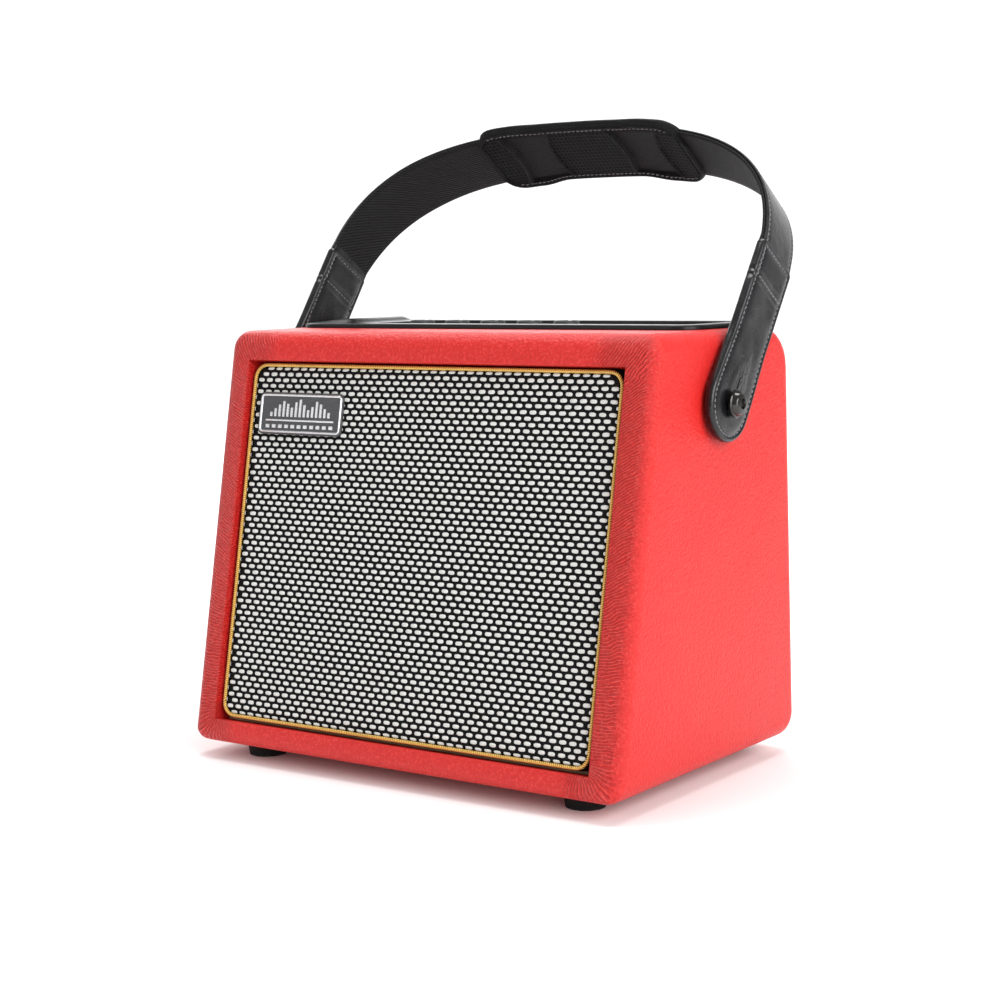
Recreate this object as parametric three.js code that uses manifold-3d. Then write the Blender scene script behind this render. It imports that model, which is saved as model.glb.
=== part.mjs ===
// A small battery-powered guitar practice amplifier with a carrying strap.
// Millimetres, +Z up. The grille faces -Y. The origin is on the floor, under the
// middle of the whole amplifier, strap included.

import * as THREE from 'three';
import { mergeVertices } from 'three/addons/utils/BufferGeometryUtils.js';
import Module from 'manifold-3d';

const wasm = await Module();
wasm.setup();

// ---- Driving dimensions -------------------------------------------------------------

const gap = 0.3; // between pieces that touch

// Cabinet: a box whose front leans back and whose back leans in a little.
const cabinetWidth = 248;
const cabinetHeight = 200;
const cabinetDepth = 169; // at the bottom
const frontLean = 38; // how far back the top front edge is
const backLean = 7.5;
const cornerRadii = [10, 12, 20, 10]; // bottom front, bottom back, top back, top front
const edgeRadius = 8.5; // round edges of the two side faces
const coveringThickness = 1;
const footHeight = 7.6;
const frontY = -99.5; // bottom front edge of the cabinet

// Where the boards lie, measured from the cabinet's underside or its middle.
const sideBoardInner = 110.1;
const bottomBoardTop = 11.3;
const topBoardUnderside = 187.3;
const boardThickness = 12;

// Front opening and grille, measured in the leaning front plane.
const opening = { halfWidth: 108.8, bottom: 12.3, top: 189.3 };
const lipDepth = 11;
const grille = { halfWidth: 107.6, bottom: 13.9, top: 188.7, radius: 8 };
const grilleFrameWidth = 12;
const pipingWidth = 2.4;
const clothFront = 3.9; // depth of the cloth behind the front plane
const clothThickness = 1.1;
const pipingFront = 3;
const baffleFront = 15;
const badge = { x: -74.5, y: 163.7, width: 52.7, height: 20.6, radius: 3, rim: 1.3 };

const footRadius = 9.3;
const footTaper = 0.9;
const footX = 93.5;
const footFrontY = 24; // from the front edge
const footBackY = 148;

// Strap, drawn in a plane through both buttons.
const strapTilt = THREE.MathUtils.degToRad(35);
const hinge = { y: 91, z: 167 }; // button axis, from the front edge and the underside
const strap = { halfSpan: 128.15, straight: 62, rise: 85, lean: 1.5, width: 32 };
const archPower = 3;
const webbingThickness = 1.5;
const liningThickness = 1.2;
const leatherThickness = 1.2;
const tab = { width: 36, neck: 16.5, bottom: -17.5, top: 80, slotBottom: 34, hole: 3.6 };
const pad = { width: 46, halfLength: 58, wall: 2.2 };

// Loudspeaker: radii, and heights from the front of the baffle board.
const speakerHeight = 98; // centre, up the front plane
const speakerHoleRadius = 57.5;

// Control panel, let into the rear half of the top.
const panel = { x0: -116, x1: 116, y0: 80, y1: 147, radius: 12, thickness: 2 };
const pocket = { x0: -76, x1: 108, y0: 92, y1: 139, radius: 6, wall: 1.8 };
const pocketFloor = 190; // height of the floor inside the pocket
const floorThickness = 2;
const hump = { x0: -114, x1: -85, y0: 88, y1: 138, height: 2.3 };
const knobX = [-62, -40, -18, 4, 26]; // 22 mm pitch
const knobY = 115.5;
const knobRadius = 7.4;
const knobTop = 203.2;
const shaftRadius = 2;
const bushRadius = 3.5;
const buttonX = 46;
const ledX = 56;
const headphoneX = 66;
const jackX = 80.5;
const jackBoreRadius = 3.3;
const switchX = 98;
const boardTop = 173.6; // control board

// Back.
const backOpening = { halfWidth: 96, bottom: 24, top: 172, radius: 6 };
const rabbetDepth = 5;
const rabbetWidth = 6;
const port = { x: 58, z: 66, radius: 20, bore: 17, flange: 25, length: 58 };
const chargerHole = { x: -62, z: 48, width: 9.6, height: 3.8 };

// ---- Helpers ------------------------------------------------------------------------

const baseZ = footHeight;
const frontAngle = Math.atan2(frontLean, cabinetHeight);

/** Wind the triangles so that the faces point out. */
function faceOut(geometry) {
  const position = geometry.attributes.position;
  const index = geometry.index.array;
  const a = new THREE.Vector3();
  const b = new THREE.Vector3();
  const c = new THREE.Vector3();
  let volume = 0;
  for (let i = 0; i < index.length; i += 3) {
    a.fromBufferAttribute(position, index[i]);
    b.fromBufferAttribute(position, index[i + 1]);
    c.fromBufferAttribute(position, index[i + 2]);
    volume += a.dot(b.cross(c));
  }
  if (volume < 0) {
    for (let i = 0; i < index.length; i += 3) {
      [index[i], index[i + 1]] = [index[i + 1], index[i]];
    }
  }
  return geometry;
}

/** Merge a closed geometry's shared corners and drop triangles of no area. */
function weld(geometry) {
  const plain = geometry.clone();
  plain.deleteAttribute('normal');
  plain.deleteAttribute('uv');
  const merged = mergeVertices(plain, 1e-4);
  const kept = [];
  const old = merged.index.array;
  for (let i = 0; i < old.length; i += 3) {
    const [a, b, c] = [old[i], old[i + 1], old[i + 2]];
    if (a !== b && b !== c && c !== a) kept.push(a, b, c);
  }
  merged.setIndex(kept);
  return faceOut(merged);
}

function toManifold(geometry) {
  const merged = weld(geometry);
  return new wasm.Manifold(new wasm.Mesh({
    numProp: 3,
    vertProperties: new Float32Array(merged.attributes.position.array),
    triVerts: new Uint32Array(merged.index.array),
  }));
}

function toGeometry(solid) {
  const mesh = solid.getMesh();
  const geometry = new THREE.BufferGeometry();
  geometry.setAttribute('position', new THREE.BufferAttribute(mesh.vertProperties, 3));
  geometry.setIndex(new THREE.BufferAttribute(mesh.triVerts, 1));
  return geometry;
}

const cut = (geometry, ...tools) => toGeometry(
  tools.reduce((solid, tool) => solid.subtract(toManifold(tool)), toManifold(geometry)),
);
const join = (geometry, ...others) => toGeometry(
  others.reduce((solid, other) => solid.add(toManifold(other)), toManifold(geometry)),
);
const common = (geometry, ...others) => toGeometry(
  others.reduce((solid, other) => solid.intersect(toManifold(other)), toManifold(geometry)),
);

/** A box between two corners. */
function boxBetween(x0, y0, z0, x1, y1, z1) {
  const box = new THREE.BoxGeometry(x1 - x0, y1 - y0, z1 - z0);
  return box.translate((x0 + x1) / 2, (y0 + y1) / 2, (z0 + z1) / 2);
}

/** A closed outline with round corners, from corner points in anticlockwise order. */
function roundedOutline(points, radii, holes = []) {
  const shape = new THREE.Shape();
  points.forEach((corner, i) => {
    const before = points[(i + points.length - 1) % points.length];
    const after = points[(i + 1) % points.length];
    const toBefore = before.clone().sub(corner).normalize();
    const toAfter = after.clone().sub(corner).normalize();
    const half = Math.acos(toBefore.dot(toAfter)) / 2;
    const middle = toBefore.clone().add(toAfter).normalize();
    const centre = corner.clone().addScaledVector(middle, radii[i] / Math.sin(half));
    const reach = radii[i] / Math.tan(half);
    const start = corner.clone().addScaledVector(toBefore, reach).sub(centre);
    const end = corner.clone().addScaledVector(toAfter, reach).sub(centre);
    shape.absarc(centre.x, centre.y, radii[i], start.angle(), end.angle(), false);
  });
  shape.closePath();
  shape.holes = holes;
  return shape;
}

function roundedRectangle(x0, y0, x1, y1, radius, holes = []) {
  const corners = [[x0, y0], [x1, y0], [x1, y1], [x0, y1]].map(([x, y]) => new THREE.Vector2(x, y));
  return roundedOutline(corners, corners.map(() => radius), holes);
}

/** A flat plate of a shape, between two heights. */
function plate(shape, low, high, bevel = 0, curveSegments = 3) {
  const geometry = new THREE.ExtrudeGeometry(shape, {
    depth: high - low - 2 * bevel,
    curveSegments,
    bevelEnabled: bevel > 0,
    bevelSize: bevel,
    bevelThickness: bevel,
    bevelOffset: -bevel,
    bevelSegments: 1,
  });
  return geometry.translate(0, 0, low + bevel);
}

/** Turn a shape drawn in (y, z) and extruded along its own Z to lie along X. */
function alongX(geometry) {
  const basis = new THREE.Matrix4().makeBasis(
    new THREE.Vector3(0, 1, 0),
    new THREE.Vector3(0, 0, 1),
    new THREE.Vector3(1, 0, 0),
  );
  return geometry.applyMatrix4(basis);
}

/** A solid of revolution about Z from [radius, height] pairs that close on themselves. */
function turned(profile, segments = 14) {
  const points = [...profile, profile[0]].map(([r, h]) => new THREE.Vector2(r, h));
  return new THREE.LatheGeometry(points, segments).rotateX(Math.PI / 2);
}

/** A cylinder about Z between two heights. */
function rod(radius, low, high, segments = 20) {
  const cylinder = new THREE.CylinderGeometry(radius, radius, high - low, segments);
  return cylinder.rotateX(Math.PI / 2).translate(0, 0, (low + high) / 2);
}

const amplifier = new THREE.Group();

/** Add one named piece to a group. */
function piece(group, name, geometry, color, roughness, metalness = 0) {
  const material = new THREE.MeshStandardMaterial({ color, roughness, metalness });
  const mesh = new THREE.Mesh(weld(geometry), material);
  mesh.name = name;
  group.add(mesh);
  return mesh;
}

function childGroup(parent, x, y, z) {
  const group = new THREE.Group();
  group.position.set(x, y, z);
  parent.add(group);
  return group;
}

// ---- Cabinet ------------------------------------------------------------------------

// Everything in the cabinet group is measured from the bottom front edge.
const cabinet = childGroup(amplifier, 0, frontY, baseZ);
const red = 0xdc332c;
const boardBrown = 0xa9855c;
const black = 0x151515;

/** The corners of the cabinet's side, each edge moved in by an inset. */
function sideCorners(inset) {
  const frontShift = inset / Math.cos(frontAngle);
  const backAngle = Math.atan2(backLean, cabinetHeight);
  const backShift = inset / Math.cos(backAngle);
  const frontAt = (z) => frontLean * z / cabinetHeight + frontShift;
  const backAt = (z) => cabinetDepth - backLean * z / cabinetHeight - backShift;
  const low = inset;
  const high = cabinetHeight - inset;
  return [[frontAt(low), low], [backAt(low), low], [backAt(high), high], [frontAt(high), high]]
    .map(([y, z]) => new THREE.Vector2(y, z));
}

/** The whole cabinet as one round-edged block, shrunk by an inset. */
function cabinetBlock(inset) {
  const shape = roundedOutline(sideCorners(inset), cornerRadii.map((r) => r - inset));
  const bevel = edgeRadius - inset;
  const width = cabinetWidth - 2 * inset;
  const block = new THREE.ExtrudeGeometry(shape, {
    depth: width - 2 * bevel,
    curveSegments: 3,
    bevelEnabled: true,
    bevelSize: bevel,
    bevelThickness: bevel,
    bevelOffset: -bevel,
    bevelSegments: 2,
  });
  return alongX(block.translate(0, 0, -width / 2 + bevel));
}

/** Put a geometry drawn in the leaning front plane (Z pointing out) into the cabinet. */
const fromFrontPlane = (geometry) => geometry.rotateX(Math.PI / 2 - frontAngle);

/** The front opening as a prism through the front plane, grown on every side. */
function openingPrism(grow, depth) {
  const { halfWidth, bottom, top } = opening;
  return fromFrontPlane(boxBetween(
    -halfWidth - grow, bottom - grow, -depth,
    halfWidth + grow, top + grow, 20,
  ));
}

/** The cut-out in the top for the control panel's pocket, grown on every side. */
function pocketPrism(grow, low, high) {
  const { x0, x1, y0, y1, radius, wall } = pocket;
  const by = wall + grow;
  const shape = roundedRectangle(x0 - by, y0 - by, x1 + by, y1 + by, radius + by);
  return plate(shape, low, high);
}

/** The opening in the back, grown on every side, between two depths from the front edge. */
function backPrism(grow, y0, y1) {
  const { halfWidth, bottom, top, radius } = backOpening;
  const shape = roundedRectangle(
    -halfWidth - grow, bottom - grow,
    halfWidth + grow, top + grow, radius + grow,
  );
  return plate(shape, -y1, -y0).rotateX(Math.PI / 2);
}

const boardInset = coveringThickness + gap;
const core = cabinetBlock(boardInset);
const far = 400;

function addBoards() {
  const edge = sideBoardInner;
  for (const [side, sign] of [['left', -1], ['right', 1]]) {
    const half = boxBetween(edge, -far, -far, far, far, far);
    if (sign < 0) half.rotateZ(Math.PI);
    piece(cabinet, `side_board_${side}`, common(core, half), boardBrown, 0.9);
  }

  const between = edge - gap;
  const bottomHalf = boxBetween(-between, -far, -far, between, far, bottomBoardTop);
  const bottomBoard = cut(
    common(core, bottomHalf),
    openingPrism(coveringThickness + gap, lipDepth + gap),
  );
  piece(cabinet, 'bottom_board', bottomBoard, boardBrown, 0.9);

  const topHalf = boxBetween(-between, -far, topBoardUnderside, between, far, far);
  const topBoard = cut(common(core, topHalf), pocketPrism(gap, 150, 250));
  piece(cabinet, 'top_board', topBoard, boardBrown, 0.9);

  const low = bottomBoardTop + gap;
  const high = topBoardUnderside - gap;
  const frontAt = (z, depth) => frontLean * z / cabinetHeight + depth / Math.cos(frontAngle);
  const backAt = (z, depth) => cabinetDepth - backLean * z / cabinetHeight - depth;
  const slab = (at, near, deep) => {
    const corners = [
      [at(low, near), low],
      [at(low, deep), low],
      [at(high, deep), high],
      [at(high, near), high],
    ];
    const shape = new THREE.Shape(corners.map(([y, z]) => new THREE.Vector2(y, z)));
    const width = 2 * between;
    return alongX(new THREE.ExtrudeGeometry(shape, { depth: width, bevelEnabled: false })
      .translate(0, 0, -width / 2));
  };

  const speakerHole = fromFrontPlane(rod(speakerHoleRadius, -80, 20, 32)
    .translate(0, speakerHeight, 0));
  const baffle = cut(slab(frontAt, baffleFront, baffleFront + boardThickness), speakerHole);
  piece(cabinet, 'baffle_board', baffle, black, 0.8);

  const deepY = cabinetDepth - boardInset - rabbetDepth;
  const backBoard = cut(
    common(slab(backAt, boardInset, boardInset + boardThickness), core),
    backPrism(-rabbetWidth, 100, far),
    backPrism(0, deepY - backLean, far),
  );
  piece(cabinet, 'back_board', backBoard, boardBrown, 0.9);
}

function addCovering() {
  const shell = cut(cabinetBlock(0), cabinetBlock(coveringThickness));
  const lip = common(openingPrism(coveringThickness, lipDepth), cabinetBlock(0));
  const covering = cut(
    join(shell, lip),
    openingPrism(0, lipDepth + 20),
    pocketPrism(gap, 150, 250),
    backPrism(0, 120, far),
  );
  piece(cabinet, 'vinyl_covering', covering, red, 0.5);
}

/** The removable back panel, let into the back board, with the port and charger holes. */
function addBack() {
  const panelBack = cabinetDepth - boardInset - gap;
  const outline = backPrism(-gap, 100, far);
  const lean = Math.atan2(backLean, cabinetHeight);
  const sheet = boxBetween(-far, -rabbetDepth + 2 * gap, -far, far, 0, far);
  sheet.rotateX(lean).translate(0, panelBack, 0);
  const portHole = rod(port.radius + gap, -far, 0, 24).rotateX(Math.PI / 2)
    .translate(port.x, 0, port.z);
  const { x, z, width, height } = chargerHole;
  const charger = boxBetween(
    x - width / 2, 100, z - height / 2,
    x + width / 2, far, z + height / 2,
  );
  piece(cabinet, 'back_panel', cut(common(outline, sheet), portHole, charger), 0x1b1b1c, 0.7);

  const face = cabinetDepth - boardInset - backLean * port.z / cabinetHeight + 0.6;
  const tube = turned([
    [port.bore, -port.length],
    [port.radius, -port.length],
    [port.radius, 0],
    [port.flange, 0],
    [port.flange, 2],
    [port.bore + 3, 2],
    [port.bore, -2],
  ], 18).rotateX(-Math.PI / 2 + lean);
  piece(cabinet, 'port_tube', tube, 0x101010, 0.5).position.set(port.x, face, port.z);

  const socketFace = cabinetDepth - boardInset - backLean * z / cabinetHeight - gap;
  const body = boxBetween(-4.4, -9, -1.6, 4.4, 0, 1.6);
  const slot = boxBetween(-3.9, -6, -1.1, 3.9, 5, 1.1);
  piece(cabinet, 'charging_socket', cut(body, slot), 0xb9bbbd, 0.3, 0.9)
    .position.set(x, socketFace - 0.4, z);
}

// ---- Grille and badge ---------------------------------------------------------------

const front = childGroup(cabinet, 0, 0, 0);
front.rotation.x = Math.PI / 2 - frontAngle;

/** A rounded rectangle the shape of the grille, shrunk by an inset. */
function grilleOutline(inset, holes = []) {
  const { halfWidth, bottom, top, radius } = grille;
  return roundedRectangle(
    -halfWidth + inset, bottom + inset,
    halfWidth - inset, top - inset,
    Math.max(radius - inset, 2), holes,
  );
}

function addGrille() {
  const clothBack = clothFront + clothThickness;
  const frameShape = grilleOutline(0.6, [grilleOutline(grilleFrameWidth)]);
  const frame = plate(frameShape, -baffleFront + gap, -clothBack - gap);
  piece(front, 'grille_frame', frame, 0x6f5335, 0.9);

  const clothShape = grilleOutline(pipingWidth + gap);
  piece(front, 'grille_cloth', plate(clothShape, -clothBack, -clothFront), 0x8c8c86, 0.9);

  const ring = grilleOutline(0, [grilleOutline(pipingWidth)]);
  piece(front, 'grille_piping', plate(ring, -clothBack, -pipingFront), 0xc9a045, 0.5);
}

function addBadge() {
  const { x, y, width, height, radius, rim } = badge;
  const outline = (inset, holes) => roundedRectangle(
    -width / 2 + inset, -height / 2 + inset,
    width / 2 - inset, height / 2 - inset, radius - inset, holes,
  );
  const back = -clothFront + gap;
  const group = childGroup(front, x, y, back);
  piece(group, 'badge_plate', plate(outline(rim + gap), 0, 1.2), 0x2b2d30, 0.5, 0.4);
  piece(group, 'badge_rim', plate(outline(0, [outline(rim)]), 0, 1.7), 0xb9bdc2, 0.3, 1);
}

// ---- Feet and strap buttons ---------------------------------------------------------

function addFeet() {
  const rows = [['front', footFrontY], ['back', footBackY]];
  for (const [row, y] of rows) {
    for (const [side, sign] of [['left', -1], ['right', 1]]) {
      const foot = turned([
        [0, 0],
        [footRadius - 0.6, 0],
        [footRadius, 0.6],
        [footRadius + footTaper, footHeight - gap],
        [0, footHeight - gap],
      ], 16);
      piece(amplifier, `foot_${row}_${side}`, foot, 0x0d0d0d, 0.8)
        .position.set(sign * footX, frontY + y, 0);
    }
  }
}

function addStrapButtons() {
  for (const [side, sign] of [['left', -1], ['right', 1]]) {
    const button = turned([
      [0, gap],
      [4.6, gap],
      [4.6, 1.4],
      [3.2, 1.6],
      [3.2, 7.2],
      [6.4, 8],
      [6.5, 9.6],
      [5.2, 11.6],
      [3, 12.3],
      [0, 12.3],
    ], 14).rotateY(sign * Math.PI / 2);
    piece(cabinet, `strap_button_${side}`, button, 0x17181a, 0.25, 0.9)
      .position.set(sign * cabinetWidth / 2, hinge.y, hinge.z);
  }
}

// ---- Strap --------------------------------------------------------------------------

const strapGroup = childGroup(cabinet, 0, hinge.y, hinge.z);
strapGroup.rotation.x = Math.PI / 2 - strapTilt;

/** The strap's middle line from the left button, over the arch, to the right button. */
function archPoints(steps) {
  const points = [];
  for (let i = 0; i <= steps; i += 1) {
    const angle = Math.PI * (1 - i / steps);
    const sum = Math.abs(Math.cos(angle)) ** archPower + Math.sin(angle) ** archPower;
    const across = Math.cos(angle) / sum ** (1 / archPower);
    const up = Math.sin(angle) / sum ** (1 / archPower);
    const shift = strap.lean * up * up;
    points.push(new THREE.Vector2(across * strap.halfSpan + shift, strap.straight + up * strap.rise));
  }
  return points;
}

/** A line's points moved sideways; a positive offset is away from the hand's side. */
function offsetLine(points, offset) {
  return points.map((point, i) => {
    const before = points[Math.max(i - 1, 0)];
    const after = points[Math.min(i + 1, points.length - 1)];
    const along = after.clone().sub(before).normalize();
    return new THREE.Vector2(point.x - along.y * offset, point.y + along.x * offset);
  });
}

/** A band of constant thickness along a line, as wide as asked. */
function bandAlong(points, inner, outer, width) {
  const outline = [...offsetLine(points, inner), ...offsetLine(points, outer).reverse()];
  const options = { depth: width, bevelEnabled: false };
  return new THREE.ExtrudeGeometry(new THREE.Shape(outline), options).translate(0, 0, -width / 2);
}

/** The stretch of the arch within a length of its top, either way. */
function padLine(points, halfLength) {
  const middle = Math.floor(points.length / 2);
  const kept = [points[middle]];
  for (const step of [-1, 1]) {
    let travelled = 0;
    let here = points[middle];
    for (let i = middle + step; travelled < halfLength; i += step) {
      const length = here.distanceTo(points[i]);
      const share = Math.min((halfLength - travelled) / length, 1);
      here = here.clone().lerp(points[i], share);
      travelled += length * share;
      if (step < 0) kept.unshift(here);
      else kept.push(here);
    }
  }
  return kept;
}

const webInner = -webbingThickness / 2;
const webOuter = webbingThickness / 2;
const liningInner = webOuter + gap;
const liningOuter = liningInner + liningThickness;

function addStrap() {
  const arch = archPoints(44);
  const leg = (sign, height) => new THREE.Vector2(sign * strap.halfSpan, height);

  const webbingLine = [leg(-1, tab.slotBottom + gap), ...arch, leg(1, tab.slotBottom + gap)];
  const webbing = bandAlong(webbingLine, webInner, webOuter, strap.width);
  piece(strapGroup, 'strap_webbing', webbing, 0x1c1c1d, 0.9);

  const above = arch.filter((point) => point.y > tab.top + 2);
  const lining = bandAlong(above, liningInner, liningOuter, strap.width);
  piece(strapGroup, 'strap_lining', lining, 0x0c0c0d, 0.25);

  const padMiddle = padLine(arch, pad.halfLength);
  const padInner = webInner - gap - pad.wall;
  const padOuter = liningOuter + gap + pad.wall;
  const sleeve = cut(
    bandAlong(padMiddle, padInner, padOuter, pad.width),
    bandAlong(padLine(arch, pad.halfLength + 4), webInner - gap, liningOuter + gap,
      strap.width + 2 * gap),
  );
  piece(strapGroup, 'shoulder_pad', sleeve, 0x161617, 0.8);

  for (const [side, sign] of [['left', -1], ['right', 1]]) {
    const rising = arch.filter((point) => point.x * sign > 0 && point.y < tab.top);
    if (sign > 0) rising.reverse();
    const line = [leg(sign, tab.bottom - 2), ...rising];
    const half = leatherThickness + gap + webOuter;
    const slotLine = [leg(sign, tab.slotBottom), ...rising];
    const last = rising[rising.length - 1];
    const beyond = last.clone().sub(rising[rising.length - 2]).setLength(6).add(last);
    const body = bandAlong(line, -half, half, tab.width);
    const slot = bandAlong([...slotLine, beyond], webInner - gap, webOuter + gap, far);
    const round = new THREE.Shape();
    const radius = tab.width / 2;
    round.absarc(0, tab.bottom + radius, radius, Math.PI, 2 * Math.PI, false);
    round.lineTo(tab.neck, tab.slotBottom);
    round.lineTo(tab.neck, far);
    round.lineTo(-tab.neck, far);
    round.lineTo(-tab.neck, tab.slotBottom);
    const options = { depth: far, bevelEnabled: false, curveSegments: 12 };
    const outline = new THREE.ExtrudeGeometry(round, options)
      .translate(0, 0, -far / 2).rotateY(Math.PI / 2);
    const hole = rod(tab.hole, -far, far, 16).rotateY(Math.PI / 2);
    const shaped = cut(common(body, outline), slot, hole);
    piece(strapGroup, `strap_tab_${side}`, shaped, 0x0c0c0d, 0.25);
  }
}

// ---- Loudspeaker --------------------------------------------------------------------

function addSpeaker() {
  // Heights here are along the speaker's axis, outward from the baffle board's front.
  const speaker = childGroup(front, 0, speakerHeight, -baffleFront);
  const basket = turned([
    [17, -34],
    [31, -34],
    [56, 0],
    [56, gap],
    [63.5, gap],
    [63.5, 3],
    [52, 3],
    [52, 0],
    [54, -0.4],
    [30.4, -32.4],
    [17, -32.4],
  ], 24);
  const window = (turn) => boxBetween(20, -10, -27, 70, 10, -9).rotateZ(turn);
  const turns = [0, 1, 2, 3].map((quarter) => (quarter + 0.5) * Math.PI / 2);
  piece(speaker, 'speaker_basket', cut(basket, ...turns.map(window)), 0x26282b, 0.5, 0.6);

  const frontPlate = turned([[13.6, -38.3], [30, -38.3], [30, -34.3], [13.6, -34.3]], 18);
  piece(speaker, 'speaker_front_plate', frontPlate, 0xa9a28c, 0.4, 0.9);
  const magnet = turned([[16, -50.6], [35, -50.6], [35, -38.6], [16, -38.6]], 18);
  piece(speaker, 'speaker_magnet', magnet, 0x2a2a2c, 0.7, 0.2);
  const yoke = turned([[0, -55], [30, -55], [30, -50.9], [12, -50.9], [12, -34.5], [0, -34.5]], 18);
  piece(speaker, 'speaker_yoke', yoke, 0xa9a28c, 0.4, 0.9);

  const coil = turned([[12.5, -46], [13.1, -46], [13.1, -18], [12.5, -18]], 18);
  piece(speaker, 'voice_coil', coil, 0xb4643a, 0.5, 0.6);
  const cone = turned([[13.5, -21.2], [44.5, 2], [44.5, 3.2], [13.5, -20]], 22);
  piece(speaker, 'speaker_cone', cone, 0x1e1e1e, 0.9);
  const cap = turned([[0, -10.2], [0, -9.4], [10, -11.6], [17.2, -16], [16.6, -16.6], [9.6, -12.5]], 14);
  piece(speaker, 'dust_cap', cap, 0x202020, 0.8);
  const surround = turned([
    [44.9, 2],
    [44.9, 3.2],
    [48.4, 6.2],
    [52, 4.4],
    [58, 4.4],
    [58, 3.4],
    [51.8, 3.4],
    [48.4, 5.2],
    [46, 2],
  ], 22);
  piece(speaker, 'speaker_surround', surround, 0x141414, 0.7);
  const spider = turned([[13.5, -27.4], [32.8, -27.4], [32.8, -26.6], [13.5, -26.6]], 18);
  piece(speaker, 'speaker_spider', spider, 0xb98f4f, 0.9);
}

// ---- Control panel ------------------------------------------------------------------

const topZ = cabinetHeight;
const floorUnder = pocketFloor - floorThickness;

function addControlPanel() {
  const { x0, x1, y0, y1, radius, thickness } = panel;
  const flangeTop = topZ + gap + thickness;
  const flange = plate(roundedRectangle(x0, y0, x1, y1, radius), topZ + gap, flangeTop, 0.6);
  const shell = pocketPrism(0, floorUnder, topZ + 1);
  const { x0: hx0, x1: hx1, y0: hy0, y1: hy1, height } = hump;
  const boss = plate(
    roundedRectangle(hx0, hy0, hx1, hy1, 9),
    topZ + 1, flangeTop + height, 2,
  );
  const hollow = plate(
    roundedRectangle(pocket.x0, pocket.y0, pocket.x1, pocket.y1, pocket.radius),
    pocketFloor, topZ + 20,
  );
  const holes = knobX.map((x) => rod(bushRadius + gap, 150, 250, 10).translate(x, knobY, 0));
  holes.push(rod(5, 150, 250, 12).translate(buttonX, knobY, 0));
  holes.push(rod(1.9, 150, 250, 8).translate(ledX, knobY, 0));
  holes.push(rod(3.5, 150, 250, 10).translate(headphoneX, knobY, 0));
  holes.push(rod(5, 150, 250, 12).translate(jackX, knobY, 0));
  holes.push(boxBetween(switchX - 6.3, knobY - 9.3, 150, switchX + 6.3, knobY + 9.3, 250));
  piece(cabinet, 'control_panel', cut(join(flange, shell, boss), hollow, ...holes), 0x141415, 0.3);

  const board = boxBetween(-72, 98, boardTop - 1.6, 60, 134, boardTop);
  piece(cabinet, 'control_board', board, 0x1d5a35, 0.5);
}

function addKnobs() {
  knobX.forEach((x, i) => {
    const group = childGroup(cabinet, x, knobY, 0);
    const number = i + 1;
    const bodyLow = boardTop + gap;
    const bodyHigh = bodyLow + 8;
    const bushTop = pocketFloor + 0.7;
    const bore = shaftRadius + gap;
    const pot = turned([
      [0, bodyLow],
      [7.5, bodyLow],
      [7.5, bodyHigh],
      [bushRadius, bodyHigh],
      [bushRadius, bushTop],
      [bore, bushTop],
      [bore, bodyLow + 2],
      [0, bodyLow + 2],
    ], 10);
    piece(group, `potentiometer_${number}`, pot, 0x8f9296, 0.4, 0.8);

    const shaftLow = bodyLow + 2 + gap;
    const shaftHigh = knobTop - 2.3;
    piece(group, `pot_shaft_${number}`, rod(shaftRadius, shaftLow, shaftHigh, 10), 0xc9ccd0, 0.3, 0.9);

    const knobLow = bushTop + gap;
    const knob = turned([
      [bore, knobLow],
      [knobRadius, knobLow],
      [knobRadius, knobLow + 2],
      [knobRadius - 0.8, knobTop - 0.6],
      [knobRadius - 1.4, knobTop],
      [0, knobTop],
      [0, knobTop - 2],
      [bore, knobTop - 2],
    ], 12);
    piece(group, `knob_${number}`, knob, 0x17181a, 0.4);
  });
}

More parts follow.
